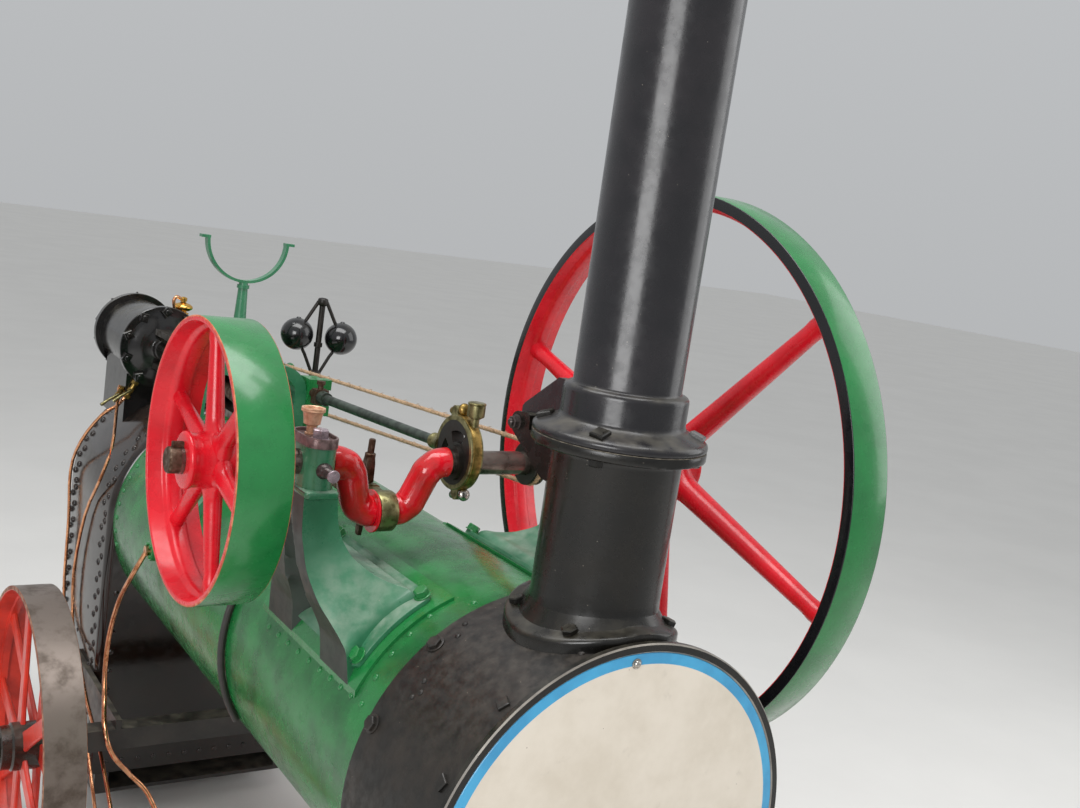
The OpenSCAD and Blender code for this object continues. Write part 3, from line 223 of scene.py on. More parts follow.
FINISHES = {
    # Gloss coach enamel: deep colour and sharp lamp reflections, with hardly any dust on it
    "coach_enamel_green": lambda n: enamel(n, paint_of("green"), "#186c35", 0.2, 0.05, 0.08),
    # The boiler's green is older, and speckled with pale drips
    "boiler_enamel_green": lambda n: enamel(n, "#22753a", "#17572c", 0.18, 0.04, 0.2, "#b9b08e", 0.08),
    # Castings between the moving pieces: the green has gone pale under grease and dust
    "dusty_enamel_green": lambda n: enamel(n, "#2a6c4a", "#3d7d5b", 0.24, 0.7, 0.12, "#8c8b76", 0.25,
                                           "#98a596"),
    # The same green, darkened as painted shade, for the brackets' outer sides where the flywheels shade them
    "sooty_enamel_green": lambda n: enamel(n, "#10281a", "#0c1a12", 0.3, 0.0, 0.12, "#3d4a3c", 0.0),
    # Clean gloss red inside the flywheels
    "coach_enamel_red": lambda n: enamel(n, paint_of("red"), "#c40f1e", 0.22, 0.0, 0.05, coat=0.1),
    # Gloss red that oil has browned, on the crank's arms
    "glossy_crank_red": lambda n: enamel(n, paint_of("red"), "#ab1c18", 0.12, 0.0, 0.12, "#3a1510", 0.3),
    # Flat red of the road wheels, dulled by road dust
    "road_wheel_red": lambda n: enamel(n, "#dc3a28", "#b82c20", 0.3, 0.12, 0.3, "#5a2a20", 0.1),
    # Gloss blacks: nearly clean on the flywheel, dusty on the chimney's pipe and its foot, scuffed on the ring
    "coach_enamel_black": lambda n: enamel(n, paint_of("black"), "#0c0c0f", 0.2, 0.0, 0.1, "#4a4540", 0.1),
    "stack_enamel_black": lambda n: enamel(n, "#18171a", "#211e21", 0.2, 0.25, 0.14, "#8c857a", 0.1),
    "dusty_enamel_black": lambda n: enamel(n, "#0b0a08", "#14110c", 0.2, 0.2, 0.16, "#8f887c", 0.0),
    "scuffed_enamel_black": lambda n: enamel(n, "#6f6962", "#a09a90", 0.35, 0.2, 0.3, "#3a352f", 0.0),
    # Cylinder black, wiped often and so the glossiest
    "cylinder_enamel_black": lambda n: enamel(n, "#0f0e0f", "#191614", 0.12, 0.2, 0.12, "#7b756c", 0.25),
    # Firebox black, baked brown and still glossy
    "furnace_enamel_black": lambda n: enamel(n, "#120c09", "#20150f", 0.1, 0.1, 0.3, "#6d5848", 0.3,
                                             "#a5897a"),
    # Deep gloss black, almost a mirror
    "ball_enamel_black": lambda n: enamel(n, "#0b0b0d", "#141416", 0.08, 0.1, 0.05, "#6f6a62"),
    # Hub black under old axle grease
    "oily_hub_black": lambda n: enamel(n, "#12100e", "#2a211a", 0.16, 0.3, 0.3, "#4d3a28"),
    # Sky blue coach enamel, clean and even
    "coach_enamel_blue": lambda n: enamel(n, paint_of("blue"), "#3493c4", 0.3, 0.05, 0.05),
    # Baked matt black and eggshell cream, whose smudges and specks are drawn above
    "smokebox_black": smokebox_black,
    "eggshell_cream": cream_disc,
    # Enamel rubbed through to the orange primer along a rim
    "rubbed_rim_edge": lambda n: metal(n, "#d0805a", "#b8452c", 0.4, 0.6, 18, 0.35, 0.6, 2.0, 0.1, 0.0),
    # The same along a tyre, browner with rust
    "rubbed_tyre_edge": lambda n: metal(n, "#a5775a", "#7d4a38", 0.4, 0.65, 20, 0.35, 0.6, 2.0, 0.2, 0.2),
    # Turned mild steel: bright with brown oil stains
    "turned_steel": lambda n: metal(n, "#7f7a72", "#4f463b", 0.28, 0.46),
    # Bright shaft under a thin brown film of oil
    "shaft_steel": lambda n: metal(n, "#7d7068", "#40352f", 0.16, 0.32, 40, 0.38, 0.72, metallic=0.85),
    # Steel with the purple brown bloom of old heat and oil: half hidden, so half metallic
    "plum_steel": lambda n: metal(n, "#7b6664", "#4c3c3a", 0.28, 0.5, 14, 0.4, 0.68, 1.5, 0.12, 0.35),
    # Hexagons rubbed paler by the spanner
    "hexagon_steel": lambda n: metal(n, "#aa9ba2", "#75676b", 0.24, 0.42, 8, 0.42, 0.7, 1.5, 0.06, 0.4),
    # Plated screw heads, bright with dull spots
    "nickelled_screw": lambda n: metal(n, "#b9b5ae", "#7d766c", 0.18, 0.35, 8),
    # Threaded steel, dark with old oil
    "oily_stud_steel": lambda n: metal(n, "#4b4240", "#2e2826", 0.25, 0.45, 10, 0.4, 0.7, 1.5, 0.1, 0.5),
    # Black-finished steel that has rusted thinly under oil
    "rusty_steel": lambda n: metal(n, "#6a5a4c", "#4a3325", 0.4, 0.7, 12, 0.35, 0.6, 1.5, 0.25, 0.8,
                                   "#7d5a3c"),
    # Steel rod with worn green paint under grease
    "greasy_green_steel": lambda n: metal(n, "#3f4a40", "#2b302b", 0.3, 0.5, 24, 0.35, 0.65, 1.5, 0.1, 0.3),
    # Sand-cast brass, satin and browned where it isn't wiped
    "sand_cast_brass": lambda n: metal(n, "#a98c50", "#6b5a30", 0.33, 0.52, 14, 0.38, 0.65, 1.5, 0.12),
    # Bearing brass under a film of oil
    "oily_brass": lambda n: metal(n, "#8e8860", "#57502f", 0.3, 0.48, 14, 0.4, 0.68, 1.5, 0.12, 0.85),
    # Wiped brass: yellow and almost mirror bright
    "polished_brass": lambda n: metal(n, "#e0b25a", "#b3863c", 0.12, 0.26, 18, 0.45, 0.7, 1.5, 0.05),
    # Pinkish bronze, dry and matt
    "bronze_cup": lambda n: metal(n, "#dfb593", "#bb8e6c", 0.34, 0.48, 12, 0.45, 0.74, 1.5, 0.08, 0.35),
    # Drawn copper pipe, bright with brown tarnish
    "drawn_copper": lambda n: metal(n, "#eaac82", "#b8774f", 0.16, 0.32, 30),
    # Cast iron, oily and nearly black
    "oiled_cast_iron": lambda n: metal(n, "#16130f", "#231d18", 0.32, 0.5, 22, 0.35, 0.65, 1.6, 0.2, 0.2),
    # Iron tyre rubbed bare by the road, brownish grey with a little rust
    "worn_tyre": lambda n: metal(n, "#7a6e66", "#54483f", 0.38, 0.55, 60, 0.42, 0.72, 1.8, 0.2, 0.45,
                                 "#6f5f54"),
    # Fibre gasket, dry and pale
    "worn_gasket": lambda n: metal(n, "#8d8576", "#5d564c", 0.6, 0.8, 12, 0.35, 0.6, 1.5, 0.1, 0.0),
    # Wrought iron under flat black paint
    "wrought_iron_painted": lambda n: enamel(n, "#242220", "#34302c", 0.4, 0.4, 0.2, "#6a4a34", 0.1),
    # Laid hemp, dry and hairy
    "laid_hemp": hemp,
}


def finish(name):
    """The material of that name, made when it is first asked for."""
    return bpy.data.materials.get(name) or FINISHES[name](name)


def paint_of(colour):
    """A paint colour from the panel."""
    return list(getattr(bpy.context.scene.engine_paints, colour)) + [1.0]


class Form:
    """Points in millimetres from the crankshaft's middle, and faces, each with the place of its finish."""

    def __init__(self):
        self.points, self.faces, self.kinds = [], [], []

    def add(self, part, kind=0, at=None):
        """Adds a part, moved by a matrix; a list of finishes is shared out along its faces."""
        points, faces = part
        start = len(self.points)
        self.points += [(at @ Vector(p)) if at else Vector(p) for p in points]
        self.faces += [[start + i for i in face] for face in faces]
        if isinstance(kind, list):
            each = len(faces) // len(kind)
            self.kinds += [k for k in kind for _ in range(each)]
        else:
            self.kinds += [kind] * len(faces)


def at(origin, towards=(0, 0, 1), turn=0.0, across=None):
    """Matrix that carries Z to the direction given, at the origin given."""
    z = Vector(towards).normalized()
    x = Vector(across) if across else (Vector((1, 0, 0)) if abs(z.x) < 0.9 else Vector((0, 1, 0)))
    y = z.cross(x).normalized()
    x = y.cross(z)
    turned_frame = Matrix((x, y, z)).transposed().to_4x4()
    return Matrix.Translation(Vector(origin)) @ turned_frame @ Matrix.Rotation(turn, 4, "Z")


def lofted(rings, closed=False, capped=True):
    """Skin over rings that have the same number of points."""
    n = len(rings[0])
    points = [p for ring in rings for p in ring]
    faces = []
    for i in range(len(rings) - (0 if closed else 1)):
        j = (i + 1) % len(rings)
        for k in range(n):
            m = (k + 1) % n
            faces.append([i * n + k, i * n + m, j * n + m, j * n + k])
    if capped and not closed:
        faces.append(list(range(n))[::-1])
        faces.append([(len(rings) - 1) * n + k for k in range(n)])
    return points, faces


def turned(profile, steps=48):
    """Solid turned about Z from (radius, height) points; it is closed through the axis, or as a ring."""
    rings = [[(r * math.cos(2 * math.pi * k / steps), r * math.sin(2 * math.pi * k / steps), z)
              for k in range(steps)] for r, z in profile]
    ring_shaped = profile[0][0] > 0 and profile[-1][0] > 0
    return lofted(rings, closed=ring_shaped, capped=False)


def swept(path, radius, sides=12, closed=False):
    """Round bar along a path; the radius may differ from point to point."""
    path = [Vector(p) for p in path]
    count = len(path)
    radii = radius if isinstance(radius, (list, tuple)) else [radius] * count
    heading = [(path[(i + 1) % count if closed else min(i + 1, count - 1)]
                - path[(i - 1) % count if closed else max(i - 1, 0)]).normalized() for i in range(count)]
    side = heading[0].orthogonal().normalized()
    rings = []
    for i in range(count):
        side = (side - heading[i] * side.dot(heading[i])).normalized()
        other = heading[i].cross(side)
        rings.append([path[i] + radii[i] * (math.cos(2 * math.pi * k / sides) * side
                                            + math.sin(2 * math.pi * k / sides) * other) for k in range(sides)])
    return lofted(rings, closed=closed)


def prism(outline, depth, start=0.0):
    """Flat outline in X and Y, raised along Z."""
    return lofted([[(x, y, start) for x, y in outline], [(x, y, start + depth) for x, y in outline]])


def rounded(width, height, corner, steps=4):
    """Outline of a rectangle with round corners, about its middle."""
    points = []
    for i, (sx, sy) in enumerate(((1, 1), (-1, 1), (-1, -1), (1, -1))):
        for k in range(steps + 1):
            angle = math.radians(90 * i + 90 * k / steps)
            points.append((sx * (width / 2 - corner) + corner * math.cos(angle),
                           sy * (height / 2 - corner) + corner * math.sin(angle)))
    return points


def polygon(sides, across_flats, turn=0.0):
    """Regular outline by the distance across its flats."""
    r = across_flats / 2 / math.cos(math.pi / sides)
    return [(r * math.cos(turn + 2 * math.pi * k / sides), r * math.sin(turn + 2 * math.pi * k / sides))
            for k in range(sides)]


def curve(points, steps=6):
    """Smooth path through the points."""
    p = [Vector(q) for q in points]
    path = []
    for i in range(len(p) - 1):
        a, b, c, d = p[max(i - 1, 0)], p[i], p[i + 1], p[min(i + 2, len(p) - 1)]
        for k in range(steps):
            t = k / steps
            path.append((2 * b + (c - a) * t + (2 * a - 5 * b + 4 * c - d) * t * t
                         + (3 * b - a - 3 * c + d) * t ** 3) / 2)
    return path + [p[-1]]


def add_nut(form, where, towards, flats=24.0, height=14.0, kind=0, sides=6, washer=0.0, turn=0.3, stud=0.0):
    """Nut or bolt head with chamfered corners, and a washer or a stud's end where it has one."""
    place = at(where, towards, turn)
    base = 0.0
    if washer:
        form.add(turned([(0, 0), (washer, 0), (washer, 2.4), (washer - 1, 3), (0, 3)], 24), kind, place)
        base = 2.8
    outline = polygon(sides, flats)
    inner = [(x * 0.86, y * 0.86) for x, y in outline]
    top = base + height
    rings = [[(x, y, base) for x, y in outline], [(x, y, top - flats * 0.07) for x, y in outline],
             [(x, y, top) for x, y in inner]]
    form.add(lofted(rings), kind, place)
    if stud:
        r = flats * 0.3
        form.add(turned([(0, top - 1), (r, top - 1), (r, top + stud - 1.5), (r - 1.5, top + stud),
                         (0, top + stud)], 20),
                 kind, place)


def add_rivet(form, where, towards, radius=7.0, kind=0, height=0.6):
    """Round rivet head, a little flattened."""
    profile = [(radius * math.cos(a), radius * height * math.sin(a)) for a in
               [math.radians(d) for d in (0, 22, 45, 68)]] + [(0, radius * height)]
    profile = [(radius * 1.02, -1.0)] + profile
    form.add(turned([(0, -1.0)] + profile, 12), kind, at(where, towards))


def around(angle, radius):
    """Point on the boiler's round at an angle from its top, towards +X."""
    return Vector((radius * math.sin(angle), 0, BOILER_Z + radius * math.cos(angle)))


def place_piece(name, form, finishes, body="engine", stands_for=(), soften=0.0, segments=2, crease=38.0):
    """Makes an object of a form; it rides on a body and may stand for CAD nodes."""
    if not form.points:
        raise RuntimeError(name + " has no points")
    mesh = bpy.data.meshes.new(name)
    mesh.from_pydata([tuple(p * 0.001 + SHAFT) for p in form.points], [], form.faces)
    for face, kind in zip(mesh.polygons, form.kinds):
        face.material_index = kind
    for each in finishes:
        mesh.materials.append(finish(each))
    solid = bmesh.new()
    solid.from_mesh(mesh)
    bmesh.ops.remove_doubles(solid, verts=solid.verts, dist=1e-6)
    bmesh.ops.recalc_face_normals(solid, faces=solid.faces)
    solid.to_mesh(mesh)
    solid.free()
    mesh.shade_smooth()
    obj = bpy.data.objects.new(name, mesh)
    bpy.context.scene.collection.objects.link(obj)
    if soften:
        bevel = obj.modifiers.new("worn_edges", "BEVEL")
        bevel.width = soften * 0.001
        bevel.segments = segments
        bevel.limit_method = "ANGLE"
        bevel.angle_limit = math.radians(crease)
        bevel.harden_normals = True
    else:
        mesh.set_sharp_from_angle(angle=math.radians(crease))
    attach(obj, body)
    if stands_for:
        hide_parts(*stands_for)
    return obj


def dress(finish_name, *nodes):
    """Gives CAD nodes their finish."""
    for node in nodes:
        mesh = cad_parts[node].data
        mesh.materials.clear()
        mesh.materials.append(finish(finish_name))


class PaintSettings(PropertyGroup):
    """Colours of the engine's paints."""

    green: FloatVectorProperty(name="Green", description="Enamel on the boiler and flywheels",
                               subtype="COLOR", size=3, min=0, max=1, default=linear("#1c7a3c")[:3])
    red: FloatVectorProperty(name="Red", description="Enamel inside the wheels and on the crank",
                             subtype="COLOR", size=3, min=0, max=1, default=linear("#dc1526")[:3])
    black: FloatVectorProperty(name="Black", description="Enamel on the edge of the large flywheel",
                               subtype="COLOR", size=3, min=0, max=1, default=linear("#131316")[:3])
    blue: FloatVectorProperty(name="Blue", description="Border of the smokebox disc", subtype="COLOR",
                              size=3, min=0, max=1, default=linear("#41a9d8")[:3])


class FlywheelSettings(PropertyGroup):
    """Sizes of the flywheels' visible shapes."""

    spokes: IntProperty(name="Spokes", description="Number of spokes in each flywheel", default=6, min=4,
                        max=8)
    turn: FloatProperty(name="Spoke turn", description="Angle of the first spoke", default=math.radians(17),
                        subtype="ANGLE")


class StageSettings(PropertyGroup):
    """Camera and light."""

    lens: FloatProperty(name="Lens", description="Focal length of the camera", default=39.772, unit="CAMERA")
    camera: FloatVectorProperty(name="Camera", description="Place of the camera", subtype="TRANSLATION",
                                size=3, unit="LENGTH", default=(-1.226, -2.53315, 1.949))
    floor: FloatVectorProperty(name="Floor", description="Colour of the floor", subtype="COLOR", size=3,
                               min=0, max=1, default=linear("#e0deda")[:3])


class ENGINE_OT_stage(Operator):
    """Set the camera, the floor and the light."""

    bl_idname = "engine.stage"
    bl_label = "Stage"

    def execute(self, context):
        settings = context.scene.engine_stage
        scene = context.scene
        scene.view_settings.view_transform = "Standard"
        camera = bpy.data.objects.new("photo_camera", bpy.data.cameras.new("photo_camera"))
        camera.data.lens = settings.lens
        camera.data.sensor_width = 36.0
        camera.data.sensor_fit = "HORIZONTAL"
        forward = Vector((0.558, 0.816, -0.151)).normalized()
        up = Vector((-0.035, 0.205, 0.978))
        right = forward.cross(up).normalized()
        up = right.cross(forward)
        basis = Matrix((right, up, -forward)).transposed().to_4x4()
        camera.matrix_world = Matrix.Translation(Vector(settings.camera)) @ basis
        scene.collection.objects.link(camera)
        scene.camera = camera
        self.floor(settings)
        self.light(scene)
        return {"FINISHED"}

    def floor(self, settings):
        """A pale floor with a faint unevenness."""
        mesh = bpy.data.meshes.new("studio_floor")
        mesh.from_pydata([(-40, -40, 0), (40, -40, 0), (40, 40, 0), (-40, 40, 0)], [], [(0, 1, 2, 3)])
        tree, where = blank("painted_screed")
        tint = list(settings.floor) + [1.0]
        colour = blend(tree, blotches(tree, where, 900, 0.3, 0.7), tint, [c * 0.96 for c in tint[:3]] + [1.0])
        rough = add(tree, "MapRange", {3: 0.7, 4: 0.85}, {0: blotches(tree, where, 300, 0.3, 0.7)})
        mesh.materials.append(surface("painted_screed", colour, rough))
        floor = bpy.data.objects.new("studio_floor", mesh)
        bpy.context.scene.collection.objects.link(floor)

    def light(self, scene):
        """A soft pale sky, with a large lamp overhead, one at the front left and a weak one at the right."""
        world = bpy.data.worlds.new("studio")
        scene.world = world
        world.use_nodes = True
        tree = world.node_tree
        tree.nodes.clear()
        height = add(tree, "SeparateXYZ", {}, {0: add(tree, "TexCoord", out="Generated")}, out=2)
        share = add(tree, "MapRange", {1: -0.1, 2: 0.7}, {0: height})
        colour = blend(tree, share, linear("#cdcfd1"), linear("#e4e7ea"))
        back = tree.nodes.new("ShaderNodeBackground")
        back.inputs["Strength"].default_value = 0.75
        tree.links.new(colour, back.inputs["Color"])
        output = tree.nodes.new("ShaderNodeOutputWorld")
        tree.links.new(back.outputs[0], output.inputs["Surface"])
        for name, power, size, where, target in (
                ("overhead_softbox", 170.0, (4.5, 2.2), (-0.6, -0.4, 5.4), (0.0, 0.2, 0.8)),
                ("front_softbox", 112.0, (2.4, 2.0), (-3.7, -3.5, 2.7), (0.0, -0.3, 1.2)),
                ("side_softbox", 42.0, (2.6, 3.6), (3.8, -1.5, 3.0), (0.0, 0.2, 1.2))):
            lamp = bpy.data.lights.new(name, "AREA")
            lamp.shape = "RECTANGLE"
            lamp.energy = power
            lamp.size, lamp.size_y = size
            obj = bpy.data.objects.new(name, lamp)
            obj.location = where
            obj.rotation_euler = (Vector(target) - Vector(where)).to_track_quat("-Z", "Y").to_euler()
            scene.collection.objects.link(obj)


def plate(outline, x0, x1):
    """Outline in Y and Z, as thick as from x0 to x1."""
    return lofted([[(x, y, z) for y, z in outline] for x in (x0, x1)])


def arc(cy, cz, r, start, end, steps=8):
    """Points of an arc in Y and Z, by its angles above the firebox side."""
    return [(cy + r * math.cos(math.radians(start + (end - start) * k / steps)),
             cz + r * math.sin(math.radians(start + (end - start) * k / steps))) for k in range(steps + 1)]


def drum_place(angle, y, radius):
    """Place and outward direction on the boiler's round, by degrees from its top."""
    t = math.radians(angle)
    return around(t, radius) + Vector((0, y, 0)), (math.sin(t), 0, math.cos(t))


class ENGINE_OT_boiler(Operator):
    """Paint the boiler and set the rivets of its saddle plates."""

    bl_idname = "engine.boiler"
    bl_label = "Boiler"

    def execute(self, context):
        dress("boiler_enamel_green", "barrel")
        dress("coach_enamel_green", "saddle_plates")
        rivets = Form()
        down = [(-70.0 + 0.4 * k, y) for k, y in enumerate((172, 121, 72, 21, -31, -82, -128, -174, -218,
                                                            -260))]
        front = [(-57.2, -255), (-48.6, -249), (-40.3, -245), (-31.6, -238), (-22.4, -225), (-17.7, -269)]
        rear = [(-57, 247), (-48.5, 247), (-40, 246), (-31.5, 246), (-22.5, 246)]
        for side in (1, -1):
            for angle, y in down + front + rear:
                add_rivet(rivets, *drum_place(side * angle, y, BARREL_R), 6.5)
        # The seam in front of the firebox
        for k in range(30):
            add_rivet(rivets, *drum_place(-102 + 204 * k / 29, 1306, BARREL_R), 7.5)
        place_piece("boiler_rivets", rivets, ["coach_enamel_green"])
        return {"FINISHED"}


class ENGINE_OT_smokebox(Operator):
    """Make the smokebox's ring, its disc and its bolts."""

    bl_idname = "engine.smokebox"
    bl_label = "Smokebox"

    def execute(self, context):
        dress("smokebox_black", "smokebox")
        front = at((0, SMOKEBOX_Y[0], BOILER_Z), (0, -1, 0))
        ring = Form()
        ring.add(turned([(351, 0), (367, 0), (367, 9.5), (364.5, 12), (353.5, 12), (351, 9.5)], 160),
                 [0, 0, 1, 0, 1, 0], front)
        place_piece("smokebox_front_ring", ring, ["dusty_enamel_black", "scuffed_enamel_black"],
                    stands_for=["smokebox_ring"])
        disc = Form()
        disc.add(turned([(0, 0), (350.7, 0), (350.7, 10), (349.7, 11), (332, 11), (331, 11), (200, 11),
                         (0, 11)], 160),
                 [1, 1, 1, 1, 0, 0, 0], front)
        place_piece("smokebox_front_disc", disc, ["eggshell_cream", "coach_enamel_blue"],
                    stands_for=["smokebox_disc"])
        screws = Form()
        for angle in (-3, 87, 177, 267):
            t = math.radians(angle)
            spot = (335.5 * math.sin(t), SMOKEBOX_Y[0] - 11, BOILER_Z + 335.5 * math.cos(t))
            screws.add(turned([(0, 0), (9, 0), (9, 1.5), (6.5, 2), (6.2, 4), (4.5, 6.2), (2, 7.2), (0, 7.4)],
                              20), 0,
                       at(spot, (0, -1, 0)))
        place_piece("disc_screws", screws, ["nickelled_screw"])
        bolts = Form()
        for k in range(15):
            angle = -64.5 + 24.0 * k
            if abs(angle) > 25:
                add_nut(bolts, *drum_place(angle, -600, SMOKEBOX_R - 0.5), 20, 6, sides=4, washer=0, turn=0.4)
        for angle in (-15.6, 15.6):
            add_rivet(bolts, *drum_place(angle, -601, SMOKEBOX_R), 7.5)
        for angle in (-66.3, -39.3, 39.3, 66.3, 100, -100, 140, -140):
            add_nut(bolts, *drum_place(angle, -365, SMOKEBOX_R - 0.5), 24, 8, washer=17)
        for x, y in ((-174, -369), (-196, -386), (-267, -415), (-278, -428), (-287, -417)):
            for side in (1, -1):
                add_rivet(bolts, *drum_place(side * math.degrees(math.asin(x / SMOKEBOX_R)), y, SMOKEBOX_R),
                          5.5)
        place_piece("smokebox_bolts", bolts, ["smokebox_black"])
        return {"FINISHED"}


def chimney_round(profile, steps=96):
    """Ring of rings around the chimney, each its radius, height over the smokebox and share of its round."""
    top = BOILER_Z + SMOKEBOX_R
    rings = []
    for r, height, follow in profile:
        ring = []
        for k in range(steps):
            angle = 2 * math.pi * k / steps
            x, y = r * math.cos(angle), max(CHIMNEY_Y + r * math.sin(angle), SMOKEBOX_Y[0] + 1)
            drop = BOILER_Z + math.sqrt(SMOKEBOX_R ** 2 - x * x) - top
            ring.append((x, y, top + height + follow * drop))
        rings.append(ring)
    return lofted(rings, closed=True)


class ENGINE_OT_chimney(Operator):
    """Make the chimney's base, its pipe and its crown."""

    bl_idname = "engine.chimney"
    bl_label = "Chimney"

    def execute(self, context):
        base = Form()
        base.add(chimney_round([
            (150, -2, 1), (150, 16, 1), (149.4, 19, 1), (147.5, 21.5, 1), (144, 23, 1), (134, 24.5, 1),
            (124, 26.5, 1), (118, 29.5, 0.97), (114.5, 34, 0.92), (112, 42, 0.8), (111, 56, 0.45),
            (111, 90, 0), (111, 284, 0), (112.5, 291, 0), (117, 295.5, 0), (124, 297, 0), (144.5, 297, 0),
            (147, 298.2, 0), (148, 300.5, 0), (148, 311, 0), (147.2, 313.2, 0), (145.5, 313.6, 0),
            (94, 313.6, 0), (94, 60, 0)]))
        for side in (-1, 1):
            ear = arc(-322, 153, 20, 60, -60, 8) + [(-332, 124), (-415, 78), (-436, 76), (-436, 148),
                                                    (-362, 148),
                                                     (-358, 173), (-352, 176), (-320, 173)]
            base.add(plate(ear, side * 96, side * 80))
        place_piece("chimney_base_casting", base, ["dusty_enamel_black"], stands_for=["chimney_base"],
                    crease=50)
        pin = Form()
        pin.add(turned([(0, -112), (6, -112), (7, -111), (7, -108), (0, -108)], 20), 0,
                at((0, -322, 153), (1, 0, 0)))
        for side in (-1, 1):
            add_nut(pin, (side * 96.3, -322, 153), (side, 0, 0), 21, 9, washer=14, stud=5 if side < 0 else 0)
        pin.add(turned([(0, -96), (7.9, -96), (7.9, 96), (0, 96)], 24), 0, at((0, -322, 153), (1, 0, 0)))
        place_piece("hinge_pin", pin, ["oily_stud_steel"], stands_for=["hinge_bolt"])
        up = at((0, CHIMNEY_Y, 0))
        stack = Form()
        stack.add(turned([
            (85, 165.6), (144, 165.6), (147, 166.8), (148, 169), (148, 173.5), (146.8, 177), (143, 180.3),
            (136, 183.3), (126, 187.3), (116, 191.7), (110, 195), (107, 198.5), (106, 203), (106, 241),
            (105.2, 245.5), (103, 249), (99.5, 251), (95, 251.6), (92.6, 253.5), (91.5, 257), (93.5, 1100),
            (96, 2010), (85, 2010)], 96), 0, up)
        for side in (-1, 1):
            lug = arc(-322, 153, 16, -160, 5, 8) + [(-306, 180), (-312, 187), (-404, 249), (-425, 249),
                                                    (-425, 166),
                                                     (-346, 166)]
            stack.add(plate(lug, side * 79, side * 64))
        place_piece("chimney_pipe", stack, ["stack_enamel_black"], "chimney", stands_for=["chimney_stack"],
                    crease=50)
        crown = Form()
        crown.add(turned([(96.4, 1926), (103, 1926), (104, 1928), (104, 1936), (101, 1941), (99.5, 1946),
                          (101, 1960), (104, 1972), (110, 1983), (117, 1989), (121, 1991), (122, 1994),
                          (122, 2004), (120.5, 2008), (117, 2010), (96.4, 2010)], 96), 0, up)
        place_piece("chimney_rim", crown, ["stack_enamel_black"], "chimney", stands_for=["chimney_crown"])
        joint = Form()
        joint.add(turned([(88, 164.7), (147.3, 164.7), (147.3, 165.5), (88, 165.5)], 96), 0, up)
        place_piece("chimney_gasket", joint, ["worn_gasket"])
        heads, nuts = Form(), Form()
        for angle in (-52, 52, 125, -125):
            t = math.radians(angle)
            x, y = math.sin(t), -math.cos(t)
            add_nut(heads, (127 * x, CHIMNEY_Y + 127 * y, 186.2), (0.35 * x, 0.35 * y, 1), 25, 8, sides=4,
                    turn=t + 0.5)
            add_nut(nuts, (127 * x, CHIMNEY_Y + 127 * y, 148), (0, 0, -1), 23, 12, turn=t)
            foot = 355 + 25
            spot = Vector((130 * x, CHIMNEY_Y + 130 * y, BOILER_Z + math.sqrt(foot * foot - (130 * x) ** 2)))
            add_nut(nuts, spot, (130 * x / foot + 0.1 * x, 0.1 * y, 1), 24, 9, washer=0, turn=t)
        place_piece("chimney_flange_bolts", heads, ["dusty_enamel_black"], "chimney")
        place_piece("chimney_foot_bolts", nuts, ["dusty_enamel_black"])
        return {"FINISHED"}


def flywheel(form, x, radius, width, rim, band, hub_r, hub_w, spoke0, spoke1, spokes, turn, outer, side,
             inner):
    """Cast flywheel: thin rim with a rib inside, tapered spokes that flare at both ends, and a stepped hub."""
    half = width / 2
    lie = at((x, 0, 0), (1, 0, 0))
    profile = [(radius, -half + 1.6), (radius - 0.5, -half + 0.5), (radius - 1.6, -half),
               (radius - band, -half), (radius - rim + 1.8, -half), (radius - rim + 0.5, -half + 0.5),
               (radius - rim, -half + 1.8), (radius - rim - 1.5, -half * 0.45),
               (radius - rim - 3.5, -half * 0.38), (radius - rim - 8, -half * 0.33),
               (radius - rim - 10, -half * 0.26), (radius - rim - 10.8, -half * 0.12)]
    mirror = [(r, -z) for r, z in reversed(profile)]
    kinds = [side] * 3 + [inner] * 17 + [side] * 3 + [outer]
    form.add(turned(profile + mirror, 160), kinds, lie)
    hub = [(25, -hub_w / 2), (hub_r - 7, -hub_w / 2), (hub_r - 3, -hub_w / 2 + 1),
           (hub_r - 0.5, -hub_w / 2 + 3.5), (hub_r, -hub_w / 2 + 7), (hub_r - 0.8, -hub_w / 2 + 11),
           (hub_r - 3, -hub_w / 2 + 14), (hub_r - 3.5, -hub_w / 4), (hub_r + 1, -hub_w * 0.14),
           (hub_r + 5, 0)]
    form.add(turned(hub + [(r, -z) for r, z in reversed(hub[:-1])], 64), inner, lie)
    start, end = hub_r - 8, radius - rim - 4
    for i in range(spokes):
        angle = turn + 2 * math.pi * i / spokes
        outward = Vector((0, math.cos(angle), math.sin(angle)))
        around_hub = Vector((0, -math.sin(angle), math.cos(angle)))
        rings = []
        for k in range(33):
            t = k / 32
            s = start + (end - start) * t
            wide = spoke0 + (spoke1 - spoke0) * t
            root = math.exp(-((s - start) / (spoke0 * 0.8)) ** 2)
            tip = math.exp(-((end - s) / (spoke1 * 0.6)) ** 2)
            lump = math.exp(-((end - s - spoke1 * 1.6) / (spoke1 * 0.7)) ** 2)
            flat = wide * (0.92 + 0.12 * root + 0.25 * tip + 0.16 * lump)
            spread = wide * (1.0 + 0.7 * root + 0.5 * tip + 0.1 * lump)
            rings.append([Vector((x, 0, 0)) + outward * s + around_hub * (spread * math.cos(2 * math.pi * j / 20))
                          + Vector((flat * math.sin(2 * math.pi * j / 20), 0, 0)) for j in range(20)])
        form.add(lofted(rings), inner)


